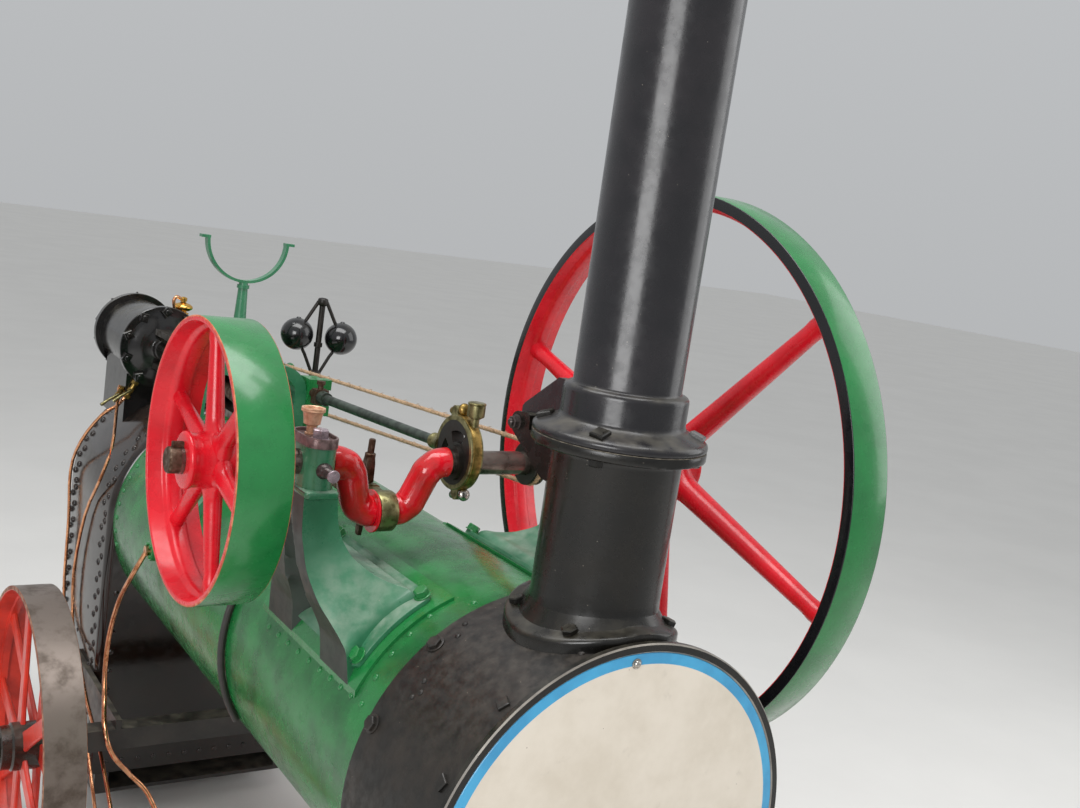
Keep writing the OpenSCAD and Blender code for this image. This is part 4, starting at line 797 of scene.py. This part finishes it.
class ENGINE_OT_flywheels(Operator):
    """Make both flywheels."""

    bl_idname = "engine.flywheels"
    bl_label = "Flywheels"

    def execute(self, context):
        settings = context.scene.engine_flywheels
        big, small = Form(), Form()
        flywheel(big, 514.5, 610, 93, 25, 22.8, 76, 128, 30, 19, settings.spokes, settings.turn, 0, 1, 2)
        place_piece("large_flywheel_casting", big,
                    ["coach_enamel_green", "coach_enamel_black", "coach_enamel_red"],
                    stands_for=["large_flywheel"], crease=50)
        flywheel(small, -515, 257, 98, 10, 3.2, 52, 116, 19, 13, settings.spokes, settings.turn, 0, 1, 2)
        place_piece("small_flywheel_casting", small,
                    ["coach_enamel_green", "rubbed_rim_edge", "coach_enamel_red"],
                    stands_for=["small_flywheel"], crease=50)
        keys = Form()
        for x0, x1 in ((-592, -566), (572, 592)):
            keys.add(plate(rounded(13, 13, 1.5, 2), x0, x1), 0, Matrix.Translation((0, 0, 27)))
        place_piece("flywheel_keys", keys, ["rusty_steel"])
        return {"FINISHED"}


def stadium(r, depth, steps=14):
    """Outline with half round ends, which lie that deep in front of and behind its middle."""
    ends = []
    for centre, start in ((depth - r, 0), (r - depth, 180)):
        ends += [(r * math.cos(math.radians(start + 180 * k / steps)),
                  centre + r * math.sin(math.radians(start + 180 * k / steps))) for k in range(steps + 1)]
    return ends


def layers(outlines):
    """Skin over outlines at their heights."""
    return lofted([[(x, y, z) for x, y in outline] for z, outline in outlines])


def bracket(form, side):
    """Swept bearing bracket: a column that spreads to four legs, a bent foot, a ledge and a half round head."""
    mirror = Matrix.Diagonal((side, 1, 1, 1))
    # Rows down the column: its inner and its outer front corner
    inner = curve([(-294, 57, -45), (-287, 58, -99), (-278, 62, -130), (-270, 70, -148), (-260, 84, -165),
                   (-243, 104, -179), (-225, 124, -190), (-202, 150, -197), (-178, 178, -203),
                   (-153, 196, -239)], 5)
    outer = curve([(-360, 56, -45), (-358, 60, -115), (-354, 68, -151), (-349, 80, -186), (-341, 97, -215),
                   (-332, 120, -242), (-320, 148, -266), (-309, 174, -290), (-302, 192, -315),
                   (-295, 202, -388)], 5)
    across, along = 10, 28
    rings = []
    for i, (a, b) in enumerate(zip(inner, outer)):
        bow = 17 * (i / (len(inner) - 1)) ** 2
        ring = []
        for k in range(across):
            u = k / across
            q = b + (a - b) * u
            ring.append((q.x, -q.y + bow * 4 * u * (1 - u), q.z))
        for k in range(along):
            ring.append((a.x, (2 * k / along - 1) * a.y, a.z))
        for k in range(across):
            u = k / across
            q = a + (b - a) * u
            ring.append((q.x, q.y - bow * 4 * u * (1 - u), q.z))
        hollow = min(max((-103 - b.z) / 220, 0), 1)
        for k in range(along):
            y = (1 - 2 * k / along) * b.y
            reach = (5 + 60 * hollow) ** 2 - y * y
            x = max(b.x, -365 + 54 * hollow + math.sqrt(reach)) if reach > 0 else b.x
            ring.append((x, y, b.z))
        rings.append(ring)
    # The outer side faces take the second finish, the green darkened as painted shade
    kinds = [([0] * (across * 2 + along) + [1] * along) for _ in range(len(rings) - 1)]
    form.add(lofted(rings), [k for row in kinds for k in row] + [0, 0], mirror)
    r0, r1 = BARREL_R + 6.3, BARREL_R + 15.3
    rings = []
    for k in range(33):
        a = math.asin(152 / r1) + (math.asin(291 / r1) - math.asin(152 / r1)) * k / 32
        ease = min(k, 32 - k) / 32 * 150
        half = 208 - (14 - math.sqrt(14 * 14 - (14 - min(ease, 14)) ** 2))
        rings.append([(-r * math.sin(a), y, BOILER_Z + r * math.cos(a)) for r, y in (
            (r0, -half), (r1 - 2.5, -half), (r1 - 0.8, -half + 0.8), (r1, -half + 2.6), (r1, half - 2.6),
            (r1 - 0.8, half - 0.8), (r1 - 2.5, half), (r0, half))])
    form.add(lofted(rings), 0, mirror)
    middle = Matrix.Translation((-326, 0, 0))
    form.add(layers([(-44, stadium(30, 57)), (34, stadium(30, 57)), (35, stadium(29, 56))]), 0,
             mirror @ middle)
    form.add(layers([(z, rounded(68 - 2 * d, 128 - 2 * d, 9 - d / 2, 4)) for z, d in
                     ((-58, 3.5), (-56.5, 1.2), (-54, 0), (-48, 0), (-45.5, 0.8), (-43.6, 3), (-43, 6.5))]),
                     0, mirror @ middle)


class ENGINE_OT_bearings(Operator):
    """Make the bearing brackets, their caps, cups and bolts."""

    bl_idname = "engine.bearings"
    bl_label = "Bearings"

    def execute(self, context):
        for side, word in ((1, "left"), (-1, "right")):
            casting = Form()
            bracket(casting, side)
            # The second finish is painted shade: the same green made dark for the outer sides
            place_piece("bearing_casting_" + word, casting, ["dusty_enamel_green", "sooty_enamel_green"],
                        stands_for=["bearing_bracket_" + word], soften=3.0, crease=32)
        studs, caps, cups, bolts = Form(), Form(), Form(), Form()
        for side in (1, -1):
            ahead = at((side * -326, 0, -5), (0, -1, 0))
            thread = [(10 if k % 2 else 8.9, 67 + 1.7 * k) for k in range(16)]
            studs.add(turned([(0, 54), (15.5, 54), (15.5, 58), (14, 61), (12, 64), (10, 66.5)] + thread
                             + [(9.4, 94.6), (0, 94.6)], 28), 0, ahead)
            studs.add(turned([(0, 94.5), (11.2, 94.5), (12, 96), (12, 100), (11, 101.6), (8, 102), (0, 102)],
                             28), 1, ahead)
            middle = Matrix.Translation((side * -326, 0, 0))
            caps.add(layers([(35.2, stadium(31.2, 58.2)), (35.8, stadium(32, 59)), (52.8, stadium(32, 59)),
                             (54, stadium(31.2, 58.2)), (54, stadium(28.8, 55.8)), (53, stadium(28, 55)),
                             (47, stadium(28, 55))]), 0, middle)
            add_nut(caps, (side * -326, -21, 47), (0, 0, 1), 27.5, 17, washer=16.5, turn=0.2, kind=1)
            cups.add(turned([(0, 47.2), (12, 47.2), (12, 50), (9.5, 51), (9.5, 62), (12, 65), (16, 67),
                             (16.2, 70), (17.5, 80), (19, 87), (20.5, 90), (23, 91.5), (23, 93.5),
                             (22.2, 94.5), (23, 95.5), (22.6, 98), (20.5, 98.3), (18.5, 97), (17, 90),
                             (16, 86), (0, 86)], 40), 0, at((side * -326, 24, 0)))
            for angle, y in ((-55.6, -194), (-28.6, -190), (-56.4, 182), (-28.6, 190)):
                spot, out = drum_place(side * angle, y, BARREL_R + 15)
                add_nut(bolts, spot, out, 25, 13, washer=17, turn=0.5)
        place_piece("bearing_studs", studs, ["oily_stud_steel", "hexagon_steel"],
                    crease=28)
        place_piece("bearing_cap_plates", caps, ["plum_steel", "hexagon_steel"], stands_for=["bearing_caps"])
        place_piece("bearing_oil_cups", cups, ["bronze_cup"], stands_for=["oil_cups"])
        place_piece("bracket_foot_bolts", bolts, ["coach_enamel_green"], soften=0.6,
                    segments=1)
        return {"FINISHED"}


class ENGINE_OT_crank(Operator):
    """Forge the bent crankshaft and the connecting rod."""

    bl_idname = "engine.crank"
    bl_label = "Crank and rod"

    def execute(self, context):
        shaft = Form()
        lie = at((0, 0, 0), (1, 0, 0))
        shaft.add(turned([(0, -600), (21.5, -600), (23.8, -597.5), (24, -596), (24, -580.2), (24.5, -580),
                          (24.5, -278), (0, -278)], 48), [2, 2, 2, 2, 2, 1, 1], lie)
        shaft.add(turned([(0, -48), (24.5, -48), (24.5, 580), (24, 580.2), (24, 597), (22, 600), (0, 600)],
                         48), 1, lie)
        lean = Matrix.Translation((-162, 0, 0)) @ Matrix.Rotation(math.radians(10), 4, "X")
        bend = [(42 * math.sin(math.radians(t)), 42 * math.cos(math.radians(t))) for t in range(0, 73, 6)]
        for side in (-1, 1):
            path = [(side * x, 0, 0) for x in ((122.3, 121.6) if side > 0 else (131, 126))]
            path += [(side * (119.5 - x), 0, -42 + z) for x, z in bend]
            path += [(side * (24 + x), 0, -64 - z) for x, z in reversed(bend)] + [(side * 22.6, 0, -106)]
            count = len(path)
            radii = [30.4 + 0.5 * math.sin(1.1 * k + side) for k in range(count)]
            radii[0] = 27.5 if side > 0 else 30.4
            radii[1] = 30.2
            radii[-1] = 27.6
            shaft.add(swept(path, radii, 32), 0, lean)
        shaft.add(turned([(0, -24), (26.5, -24), (26.5, 24), (0, 24)], 40), 1,
                  lean @ at((0, 0, -106), (1, 0, 0)))
        place_piece("bent_crankshaft", shaft, ["glossy_crank_red", "shaft_steel", "rusty_steel"],
                    stands_for=["crankshaft"], crease=45)
        rod = Form()
        place = Matrix.Translation((-162, 18.4, -104.4)) @ Matrix.Rotation(math.asin(0.0644), 4, "X")
        lie = place @ at((0, 0, 0), (1, 0, 0))
        rod.add(turned([(26.7, -21.5), (36, -21.5), (36.5, -20.5), (36.5, -17), (40, -16.4), (40.8, -15),
                        (40.8, 19), (39.8, 20.6), (37, 21.5), (26.7, 21.5)], 56), 0, lie)
        rod.add(turned([(30, -23.4), (41.5, -23.4), (42.6, -22.4), (42.6, -19.6), (41.5, -18.8), (30, -18.8)],
                       56), 2, lie)
        rod.add(prism(rounded(40, 62, 5), 106, 24), 0, place @ at((0, 0, 0), (0, 1, 0)))
        rod.add(prism(rounded(43, 66, 6), 14, 60), 0, place @ at((0, 0, 0), (0, 1, 0)))
        rod.add(layers([(-80, rounded(9, 15, 2)), (-60, rounded(10, 19, 2)), (34, rounded(12, 24, 2)),
                        (36, rounded(22, 26, 3)), (74, rounded(19, 24, 3)), (88, rounded(16, 20, 3))]),
                1, place @ Matrix.Translation((0, 82, 0)))
        rod.add(turned([(0, 86), (11, 86), (11, 93), (9, 94.5), (7, 95), (7, 121), (6, 123.5), (0, 124)], 24),
                1, place @ Matrix.Translation((0, 82, 0)))
        shank = [(0, 120 + 32 * k, 0) for k in range(26)]
        rod.add(swept(shank, [24 - 5 * abs(k / 25 - 0.35) for k in range(26)], 28), 1, place)
        rod.add(turned([(13.2, -12.8), (27, -12.8), (30, -10), (30, 10), (27, 12.8), (13.2, 12.8)], 40), 1,
                place @ at((0, 1000, 0), (1, 0, 0)))
        rod.add(prism(rounded(25, 33, 5), 80, 905), 1, place @ at((0, 0, 0), (0, 1, 0)))
        place_piece("connecting_rod_forging", rod, ["oily_brass", "rusty_steel", "glossy_crank_red"],
                    stands_for=["connecting_rod"], crease=35)
        dress("turned_steel", "crosshead", "slide_bars")
        dress("dusty_enamel_green", "motion_bracket")
        return {"FINISHED"}


class ENGINE_OT_valve_gear(Operator):
    """Make the eccentric's strap and finish the valve gear."""

    bl_idname = "engine.valve_gear"
    bl_label = "Valve gear"

    def execute(self, context):
        place = Matrix.Translation((-5, 14.8, 17.6))
        strap = Form()
        strap.add(turned([(66.2, -14), (74.5, -14), (76, -12.8), (76, -10), (77.6, -9), (78, -8), (78, 8),
                          (77.6, 9), (76, 10), (76, 12.8), (74.5, 14), (66.2, 14)], 96),
                          [1, 1, 1, 0, 0, 0, 0, 0, 1, 1, 1, 1],
                  place @ at((0, 0, 0), (1, 0, 0)))
        lean = place @ Matrix.Rotation(math.radians(-14), 4, "X")
        for side in (-1, 1):
            # Lugs of the two halves, drawn together by a bolt with a ball nut
            lug = arc(0, side * 84, 12, 20 * side, 160 * side, 6) + [(-15, side * 72), (15, side * 72)]
            strap.add(plate(lug, -10, 10), 1, lean)
            strap.add(turned([(0, -25), (7.5, -25), (8, -24), (8, -15), (6, -15), (6, 15), (9, 15), (12, 18),
                              (13, 22), (12, 26), (8, 29.5), (0, 31)], 24), 0 if side > 0 else 2,
                              lean @ at((0, 0, side * 86), (0, -1, 0)))
        strap.add(turned([(0, 66), (19, 68), (17.5, 76), (15, 84), (15, 96), (17, 99), (17, 106),
                          (15.5, 107.5), (0, 107.5)],
                         32), 1, place @ at((0, 0, 0), (0, 1, 0)))
        cup = place @ Matrix.Translation((4, -40, 0))
        strap.add(turned([(0, 58), (9, 58), (9, 78), (12, 80), (12, 82), (0, 82)], 28), 1, cup)
        knurl = []
        for z, r in ((82, 15.5), (83.5, 17.5), (85, 18), (104, 18), (106, 17.4), (107.5, 18.6), (110, 18.6),
                     (111.5, 17), (112, 14)):
            knurl.append([((r - (0.7 if k % 2 and 84 < z < 105 else 0)) * math.cos(2 * math.pi * k / 48),
                           (r - (0.7 if k % 2 and 84 < z < 105 else 0)) * math.sin(2 * math.pi * k / 48), z)
                          for k in range(48)])
        strap.add(lofted(knurl), 1, cup)
        place_piece("eccentric_strap_halves", strap, ["sand_cast_brass", "oily_brass", "nickelled_screw"],
                    stands_for=["eccentric_strap"], crease=35)
        dress("oiled_cast_iron", "eccentric_sheave")
        pulley = Form()
        pulley.add(turned([(25.2, -14), (45, -14), (46, -13), (46, -11.5), (38.5, -4), (37.2, -2), (37.2, 2),
                           (38.5, 4), (46, 11.5), (46, 13), (45, 14), (25.2, 14)], 64), 0,
                           at((163, 0, 0), (1, 0, 0)))
        place_piece("rope_sheave", pulley, ["oiled_cast_iron"], stands_for=["rope_drive_pulley"])
        dress("greasy_green_steel", "eccentric_rod")
        dress("rusty_steel", "valve_rod")
        dress("coach_enamel_green", "valve_rod_guide")
        return {"FINISHED"}


class ENGINE_OT_governor(Operator):
    """Lay the driving rope and make the governor."""

    bl_idname = "engine.governor"
    bl_label = "Governor"

    def execute(self, context):
        self.rope()
        dress("coach_enamel_green", "governor_stand", "governor_pulley")
        head = Form()
        place = Matrix.Translation((258, 1385, 0)) @ Matrix.Rotation(math.radians(-20), 4, "Z")
        head.add(turned([(0, -75.5), (18, -75.5), (18, -60), (16, -54), (9, -51), (9, 20), (13, 22), (13, 34),
                         (9, 36), (9, 148), (14, 152), (16, 156), (16, 168), (13, 172), (8, 173.5), (5, 174),
                         (0, 174)], 32), 0, place)
        for side in (-1, 1):
            head.add(swept([(side * 12, 0, 162), (side * 42, 0, 104), (side * 62, 0, 68)], 5.5, 14), 0, place)
            head.add(swept([(side * 12, 0, -60), (side * 38, 0, -5), (side * 58, 0, 28)], 5, 14), 0, place)
            ball = [(50 * math.cos(math.radians(a)), 50 * math.sin(math.radians(a)))
                    for a in range(-80, 81, 8)]
            head.add(turned([(0, -50)] + ball + [(7, 50.5), (6, 53), (0, 54)], 48), 1,
                     place @ Matrix.Translation((side * 67, 0, 54)))
        place_piece("governor_balls", head, ["oiled_cast_iron", "ball_enamel_black"],
                    stands_for=["governor_head"], crease=40)
        return {"FINISHED"}

    def rope(self):
        """Three strands laid round each other, along the run over both pulleys."""
        span = math.hypot(1385, 96)
        dip = -math.atan2(96, 1385)
        wrap = math.asin((53 - 43) / span)
        route = []
        for k in range(13):
            t = math.pi / 2 + wrap + k * (math.pi - 2 * wrap) / 12
            route.append(Vector((0, 43 * math.cos(t), 43 * math.sin(t))))
        turns = 60
        last, first = route[-1], Vector((0, span + 53 * math.cos(-math.pi / 2 - wrap),
                                         53 * math.sin(-math.pi / 2 - wrap)))
        route += [last + (first - last) * k / turns for k in range(1, turns)]
        for k in range(13):
            t = -math.pi / 2 - wrap + k * (math.pi + 2 * wrap) / 12
            route.append(Vector((0, span + 53 * math.cos(t), 53 * math.sin(t))))
        last, first = route[-1], route[0]
        route += [last + (first - last) * k / turns for k in range(1, turns)]
        place = Matrix.Translation((163, 0, 0)) @ Matrix.Rotation(dip, 4, "X")
        # Resampled evenly, so that the strands keep one lay all the way round
        loop = route + [route[0]]
        lengths = [0.0]
        for a, b in zip(loop, loop[1:]):
            lengths.append(lengths[-1] + (b - a).length)
        lay, each = 26.0, 8
        count = round(lengths[-1] / lay) * each
        points, i = [], 0
        for k in range(count):
            s = lengths[-1] * k / count
            while lengths[i + 1] < s:
                i += 1
            t = (s - lengths[i]) / (lengths[i + 1] - lengths[i])
            points.append(loop[i] + (loop[i + 1] - loop[i]) * t)
        rope = Form()
        side = Vector((1, 0, 0))
        for strand in range(3):
            path = []
            for k, p in enumerate(points):
                way = (points[(k + 1) % count] - points[k - 1]).normalized()
                up = way.cross(side)
                turn = 2 * math.pi * (k / each + strand / 3)
                path.append(p + 2.7 * (math.cos(turn) * side + math.sin(turn) * up))
            rope.add(swept(path, 2.75, 7, closed=True), 0, place)
        # Loose fibres that stand off the strands
        for k in range(900):
            i = (k * 37) % count
            way = (points[(i + 1) % count] - points[i - 1]).normalized()
            turn = 2.4 * k
            out = math.cos(turn) * side + math.sin(turn) * way.cross(side)
            foot = points[i] + 4.6 * out
            reach = 2.0 + 3.0 * ((k * 0.618) % 1)
            rope.add(swept([foot, foot + out * reach * 0.6 + way * reach,
                            foot + out * reach + way * reach * 2.4],
                           [0.45, 0.35, 0.15], 3), 0, place)
        place_piece("hemp_rope", rope, ["laid_hemp"], stands_for=["rope_belt"])


def cover_nuts(form, x, y, z, radius, count, towards, height, stud):
    """Square nuts in a circle on a round cover."""
    for k in range(count):
        t = 2 * math.pi * (k + 0.5) / count
        add_nut(form, (x + radius * math.cos(t), y, z + radius * math.sin(t)), (0, towards, 0), 24, height, 0,
                4, stud=stud, turn=t)


class ENGINE_OT_cylinder(Operator):
    """Finish the cylinder, its chest and what stands on them."""

    bl_idname = "engine.cylinder"
    bl_label = "Cylinder"

    def execute(self, context):
        dress("cylinder_enamel_black", "cylinder_casting")
        covers = Form()
        front = at((-162, 1589.7, -40), (0, -1, 0))
        covers.add(turned([(15.1, 0), (125, 0), (126, 1), (126, 21), (124, 23.5), (108, 24), (100, 25),
                           (92, 28), (84, 31), (74, 34.5), (62, 37.5), (40, 39), (36, 41), (34, 45), (34, 60),
                           (31, 64), (15.1, 64)], 96), 0, front)
        rear = at((-162, 1875.3, -40), (0, 1, 0))
        covers.add(turned([(0, 0), (125, 0), (126, 1), (126, 21), (124, 23.5), (100, 24), (88, 27), (80, 33),
                           (66, 38), (0, 39)],
                          96), 0, rear)
        cover_nuts(covers, -162, 1566, -40, 112, 10, -1, 15, 6)
        cover_nuts(covers, -162, 1899, -40, 112, 10, 1, 11, 3)
        place_piece("cylinder_end_covers", covers, ["cylinder_enamel_black"], stands_for=["cylinder_covers"],
                    crease=35)
        dress("coach_enamel_green", "valve_chest")
        dress("dusty_enamel_green", "chimney_crutch")
        studs = Form()
        for y in (1375, 1450, 1525, 1600, 1675, 1735):
            for z in (-112, 24):
                add_nut(studs, (82, y, z), (1, 0, 0), 22, 13, stud=5)
        for x in (-26, 23, 72):
            for z in (-122, 30):
                add_nut(studs, (x, 1335, z), (0, -1, 0), 20, 11, stud=5)
        place_piece("chest_nuts", studs, ["coach_enamel_green"])
        self.brasswork()
        return {"FINISHED"}

    def brasswork(self):
        """Lubricator, safety valve, water gauge and the cocks of the drain pipes."""
        oiler = Form()
        spot = at((-96, 1624, 45.5))
        oiler.add(turned([(0, -2), (20, -2), (21, 0), (21, 3), (18, 5), (11, 7), (8, 10), (9, 13), (16, 15),
                          (19, 18), (18, 21), (12, 23), (11, 25), (20, 28), (28, 33), (30, 38), (28.5, 43),
                          (22, 48), (12, 51), (8, 53), (8, 56), (11, 57), (11, 66), (9, 68), (4, 70),
                          (0, 70)], 40), 0, spot)
        hook = curve([(-122, 1606, 52), (-128, 1600, 78), (-134, 1596, 104), (-126, 1598, 116),
                      (-112, 1606, 112)], 5)
        oiler.add(swept(hook, 5.2, 14), 1)
        place_piece("cylinder_lubricator", oiler, ["polished_brass", "drawn_copper"],
                    stands_for=["lubricator"])
        cocks = Form()
        for origin, way in (((-222, 1601, -152), Vector((-0.45, 0.02, -0.89))),
                            ((-254, 1629, -181), Vector((-0.5, -0.75, -0.4)))):
            o, w = Vector(origin), way.normalized()
            for s0, flats in ((0, 20), (26, 17), (48, 20)):
                cocks.add(prism(polygon(6, flats), 10), 0, at(o + w * s0, w))
            cocks.add(turned([(0, 0), (7.5, 0), (7.5, 60), (0, 60)], 16), 0, at(o, w))
            tip = w.cross(Vector((0, 1, 0))).normalized()
            cocks.add(swept([o + w * 31, o + w * 31 + Vector((-8, -26, 4)),
                             o + w * 34 + Vector((-40, -38, -12)),
                             o + w * 38 + Vector((-58, -41, -22)) + tip * 2], [3.6, 3.6, 4.2, 5.2], 10), 1)
        place_piece("drain_cocks", cocks, ["sand_cast_brass", "oily_brass"])
        dress("drawn_copper", "drain_pipes")
        self.feed()
        dress("wrought_iron_painted", "side_pipe")
        dress("polished_brass", "safety_valve", "boiler_gauges")

    def feed(self):
        """Copper feed pipe with its union, on a green pad."""
        pad, pipe = Form(), Form()
        out, y = BARREL_R + 37, FEED_Y
        joint = at((-BARREL_R - 1, y, BOILER_Z + 30), (-1, 0, 0))
        pad.add(turned([(0, -6), (26, -6), (27, -5), (27, 7), (25.5, 8.5), (0, 8.5)], 40), 0, joint)
        for k in range(4):
            t = math.radians(45 + 90 * k)
            add_nut(pad, (-BARREL_R - 9.5, y + 19 * math.cos(t), BOILER_Z + 30 + 19 * math.sin(t)),
                    (-1, 0, 0), 9, 5)
        place_piece("feed_pad", pad, ["coach_enamel_green"])
        pipe.add(prism(polygon(6, 24), 11, 8), 0, joint)
        route = [(-BARREL_R - 14, y, BOILER_Z + 30), (-out + 2, y + 30, -545), (-out - 2, y + 120, -650),
                 (-out - 4, y + 172, -757), (-out - 6, y + 180, -850), (-out - 10, y + 145, -938),
                 (-out - 26, y + 55, -985), (-out - 6, y + 30, -1048), (-out + 50, y + 50, -1121),
                 (-out + 100, y + 30, -1180), (-out + 140, y - 20, -1290), (-out + 150, y - 30, -1400)]
        pipe.add(swept(curve(route, 8), FEED_R, 20))
        place_piece("feed_copper", pipe, ["drawn_copper"], stands_for=["feed_pipe"])


class ENGINE_OT_firebox(Operator):
    """Make the firebox with its flanged corner and rivets, and finish what hangs on it."""

    bl_idname = "engine.firebox"
    bl_label = "Firebox"

    def execute(self, context):
        bottom = -1445 + 155
        middle = [(FIREBOX_R * math.sin(math.radians(a)), BOILER_Z + FIREBOX_R * math.cos(math.radians(a)))
                  for a in range(-90, 91, 3)]
        box = Form()
        rings = []
        for y, inset in ((1335, 25), (1336, 18), (1338.5, 12), (1342, 7.5), (1347, 4), (1353, 1.2), (1360, 0),
                         (1808, 0), (1815, 1.2), (1821, 4), (1826, 7.5), (1829.5, 12), (1832, 18),
                         (1833, 25)):
            s = (FIREBOX_R - inset) / FIREBOX_R
            ring = [(x * s, y, BOILER_Z + (z - BOILER_Z) * s) for x, z in middle]
            ring += [(FIREBOX_R - inset, y, bottom), (-FIREBOX_R + inset, y, bottom)]
            rings.append(ring)
        box.add(lofted(rings))
        place_piece("firebox_shell", box, ["furnace_enamel_black"], stands_for=["firebox"],
                    crease=40)
        rivets = Form()
        rows = ((1382, 0), (1412, 1), (1760, 0), (1790, 1))
        step = 9.0
        for y, odd in rows:
            for k in range(-10, 11):
                angle = k * step + (step / 2 if odd else 0)
                if abs(angle) <= 90:
                    add_rivet(rivets, *drum_place(angle, y, FIREBOX_R), 10.5)
            for k in range(15):
                z = BOILER_Z - 22 - 53 * k - (26 if odd else 0)
                if z > bottom + 20:
                    for side in (-1, 1):
                        add_rivet(rivets, (side * FIREBOX_R, y, z), (side, 0, 0), 10.5)
        for k in range(13):
            for y, way in ((1335, -1), (1833, 1)):
                add_rivet(rivets, (-282 + 47 * k, y, bottom + 34), (0, way, 0), 8.5)
        for side in (-1, 1):
            for k in range(9):
                add_rivet(rivets, (side * FIREBOX_R, 1450 + 37 * k, bottom + 34), (side, 0, 0), 8.5)
                add_rivet(rivets, (side * 296, 1335, bottom + 80 + 60 * k), (0, -1, 0), 8.5)
                add_rivet(rivets, (side * 296, 1833, bottom + 80 + 60 * k), (0, 1, 0), 8.5)
            # Stay heads over the flat side of the firebox
            for row in range(4):
                for k in range(3):
                    add_rivet(rivets, (side * FIREBOX_R, 1480 + 100 * k, bottom + 140 + 110 * row),
                              (side, 0, 0), 7, height=0.4)
        place_piece("firebox_rivets", rivets, ["furnace_enamel_black"])
        dress("wrought_iron_painted", "ashpan", "fire_door")
        return {"FINISHED"}


def road_wheel(form, x, y, z, side, radius, width, hub0, hub1, hub_r, spokes=10):
    """Road wheel with a thin iron tyre, flat spokes that lean two ways, and a long cast hub."""
    place = Matrix.Translation((side * x, y, z)) @ Matrix.Diagonal((side, 1, 1, 1)) @ at((0, 0, 0), (1, 0, 0))
    tyre = [(radius - 1.2, 0), (radius, 1.4), (radius, width - 1.4), (radius - 1.2, width),
            (radius - 10.8, width), (radius - 12, width - 1.4), (radius - 12.6, width * 0.62),
            (radius - 22, width * 0.6), (radius - 22, width * 0.4), (radius - 12.6, width * 0.38),
            (radius - 12, 1.4), (radius - 10.8, 0)]
    form.add(turned([(r, -w) for r, w in tyre], 144), [1, 0, 1, 1, 2, 2, 2, 2, 2, 2, 2, 1], place)
    hub = [(25.2, hub0), (hub_r - 10, hub0), (hub_r - 6, hub0 + 3), (hub_r - 5, hub0 + 26),
           (hub_r, hub0 + 31), (hub_r, hub1 - 20), (hub_r - 8, hub1 - 14), (hub_r - 9, hub1 - 2),
           (hub_r - 12, hub1), (25.2, hub1)]
    form.add(turned([(r, -w) for r, w in hub], 64), 3, place)
    for i in range(spokes):
        t = 2 * math.pi * i / spokes
        outward, tangent = Vector((math.cos(t), math.sin(t), 0)), Vector((-math.sin(t), math.cos(t), 0))
        lean = width * (0.5 + (0.2 if i % 2 else -0.2))
        rings = []
        for s, wide, deep, share in ((hub_r - 6, 26, 6.5, 1.0), (hub_r + 30, 24, 6.2, 0.92),
                                     (radius * 0.55, 22, 6, 0.5), (radius - 34, 21, 6, 0.08),
                                     (radius - 20, 25, 6, 0.0)):
            centre = outward * s + Vector((0, 0, -(width / 2 + (lean - width / 2) * share)))
            rings.append([centre + tangent * (wide * a) + Vector((0, 0, deep * b)) for a, b in
                          ((0.86, -1), (1, -0.5), (1, 0.5), (0.86, 1), (-0.86, 1), (-1, 0.5), (-1, -0.5),
                           (-0.86, -1))])
        form.add(lofted(rings), 2, place)


class ENGINE_OT_running_gear(Operator):
    """Make the road wheels and finish the axles and the fore-carriage."""

    bl_idname = "engine.running_gear"
    bl_label = "Running gear"

    def execute(self, context):
        finishes = ["worn_tyre", "rubbed_tyre_edge", "road_wheel_red", "oily_hub_black"]
        for side, word in ((-1, "left"), (1, "right")):
            wheel = Form()
            road_wheel(wheel, 610, 1050, -1030, side, 415, 98, -28, 98, 62)
            place_piece("hind_road_wheel_" + word, wheel, finishes, "hind_wheel_" + word,
                        stands_for=["hind_wheel_" + word], crease=35)
        front = Form()
        for side in (-1, 1):
            road_wheel(front, 500, -490, -1145, side, 300, 88, -24, 98, 54)
        place_piece("front_road_wheels", front, finishes, stands_for=["front_wheels"],
                    crease=35)
        dress("wrought_iron_painted", "hind_axle", "fore_carriage", "front_axle")
        return {"FINISHED"}


class ENGINE_PT_panel(Panel):
    """Sizes, colours and pieces of the steam engine."""

    bl_idname = "ENGINE_PT_panel"
    bl_label = "Steam engine"
    bl_space_type = "VIEW_3D"
    bl_region_type = "UI"
    bl_category = "Steam engine"

    def draw(self, context):
        for settings in (context.scene.engine_stage, context.scene.engine_paints,
                         context.scene.engine_flywheels):
            column = self.layout.column()
            for name in settings.__annotations__:
                column.prop(settings, name)
        for operator in OPERATORS:
            self.layout.operator(operator.bl_idname)


GROUPS = (("engine_paints", PaintSettings), ("engine_flywheels", FlywheelSettings),
          ("engine_stage", StageSettings))
OPERATORS = (ENGINE_OT_stage, ENGINE_OT_boiler, ENGINE_OT_smokebox, ENGINE_OT_chimney, ENGINE_OT_flywheels,
             ENGINE_OT_bearings, ENGINE_OT_crank, ENGINE_OT_valve_gear, ENGINE_OT_governor,
             ENGINE_OT_cylinder, ENGINE_OT_firebox, ENGINE_OT_running_gear)


def register():
    for name, group in GROUPS:
        bpy.utils.register_class(group)
        setattr(bpy.types.Scene, name, PointerProperty(type=group))
    for each in OPERATORS + (ENGINE_PT_panel,):
        bpy.utils.register_class(each)


def unregister():
    for each in (ENGINE_PT_panel,) + OPERATORS:
        bpy.utils.unregister_class(each)
    for name, group in GROUPS:
        delattr(bpy.types.Scene, name)
        bpy.utils.unregister_class(group)


def main():
    register()
    bpy.ops.engine.stage()
    bpy.ops.engine.boiler()
    bpy.ops.engine.smokebox()
    bpy.ops.engine.chimney()
    bpy.ops.engine.flywheels()
    bpy.ops.engine.bearings()
    bpy.ops.engine.crank()
    bpy.ops.engine.valve_gear()
    bpy.ops.engine.governor()
    bpy.ops.engine.cylinder()
    bpy.ops.engine.firebox()
    bpy.ops.engine.running_gear()


if __name__ == "__main__":
    main()
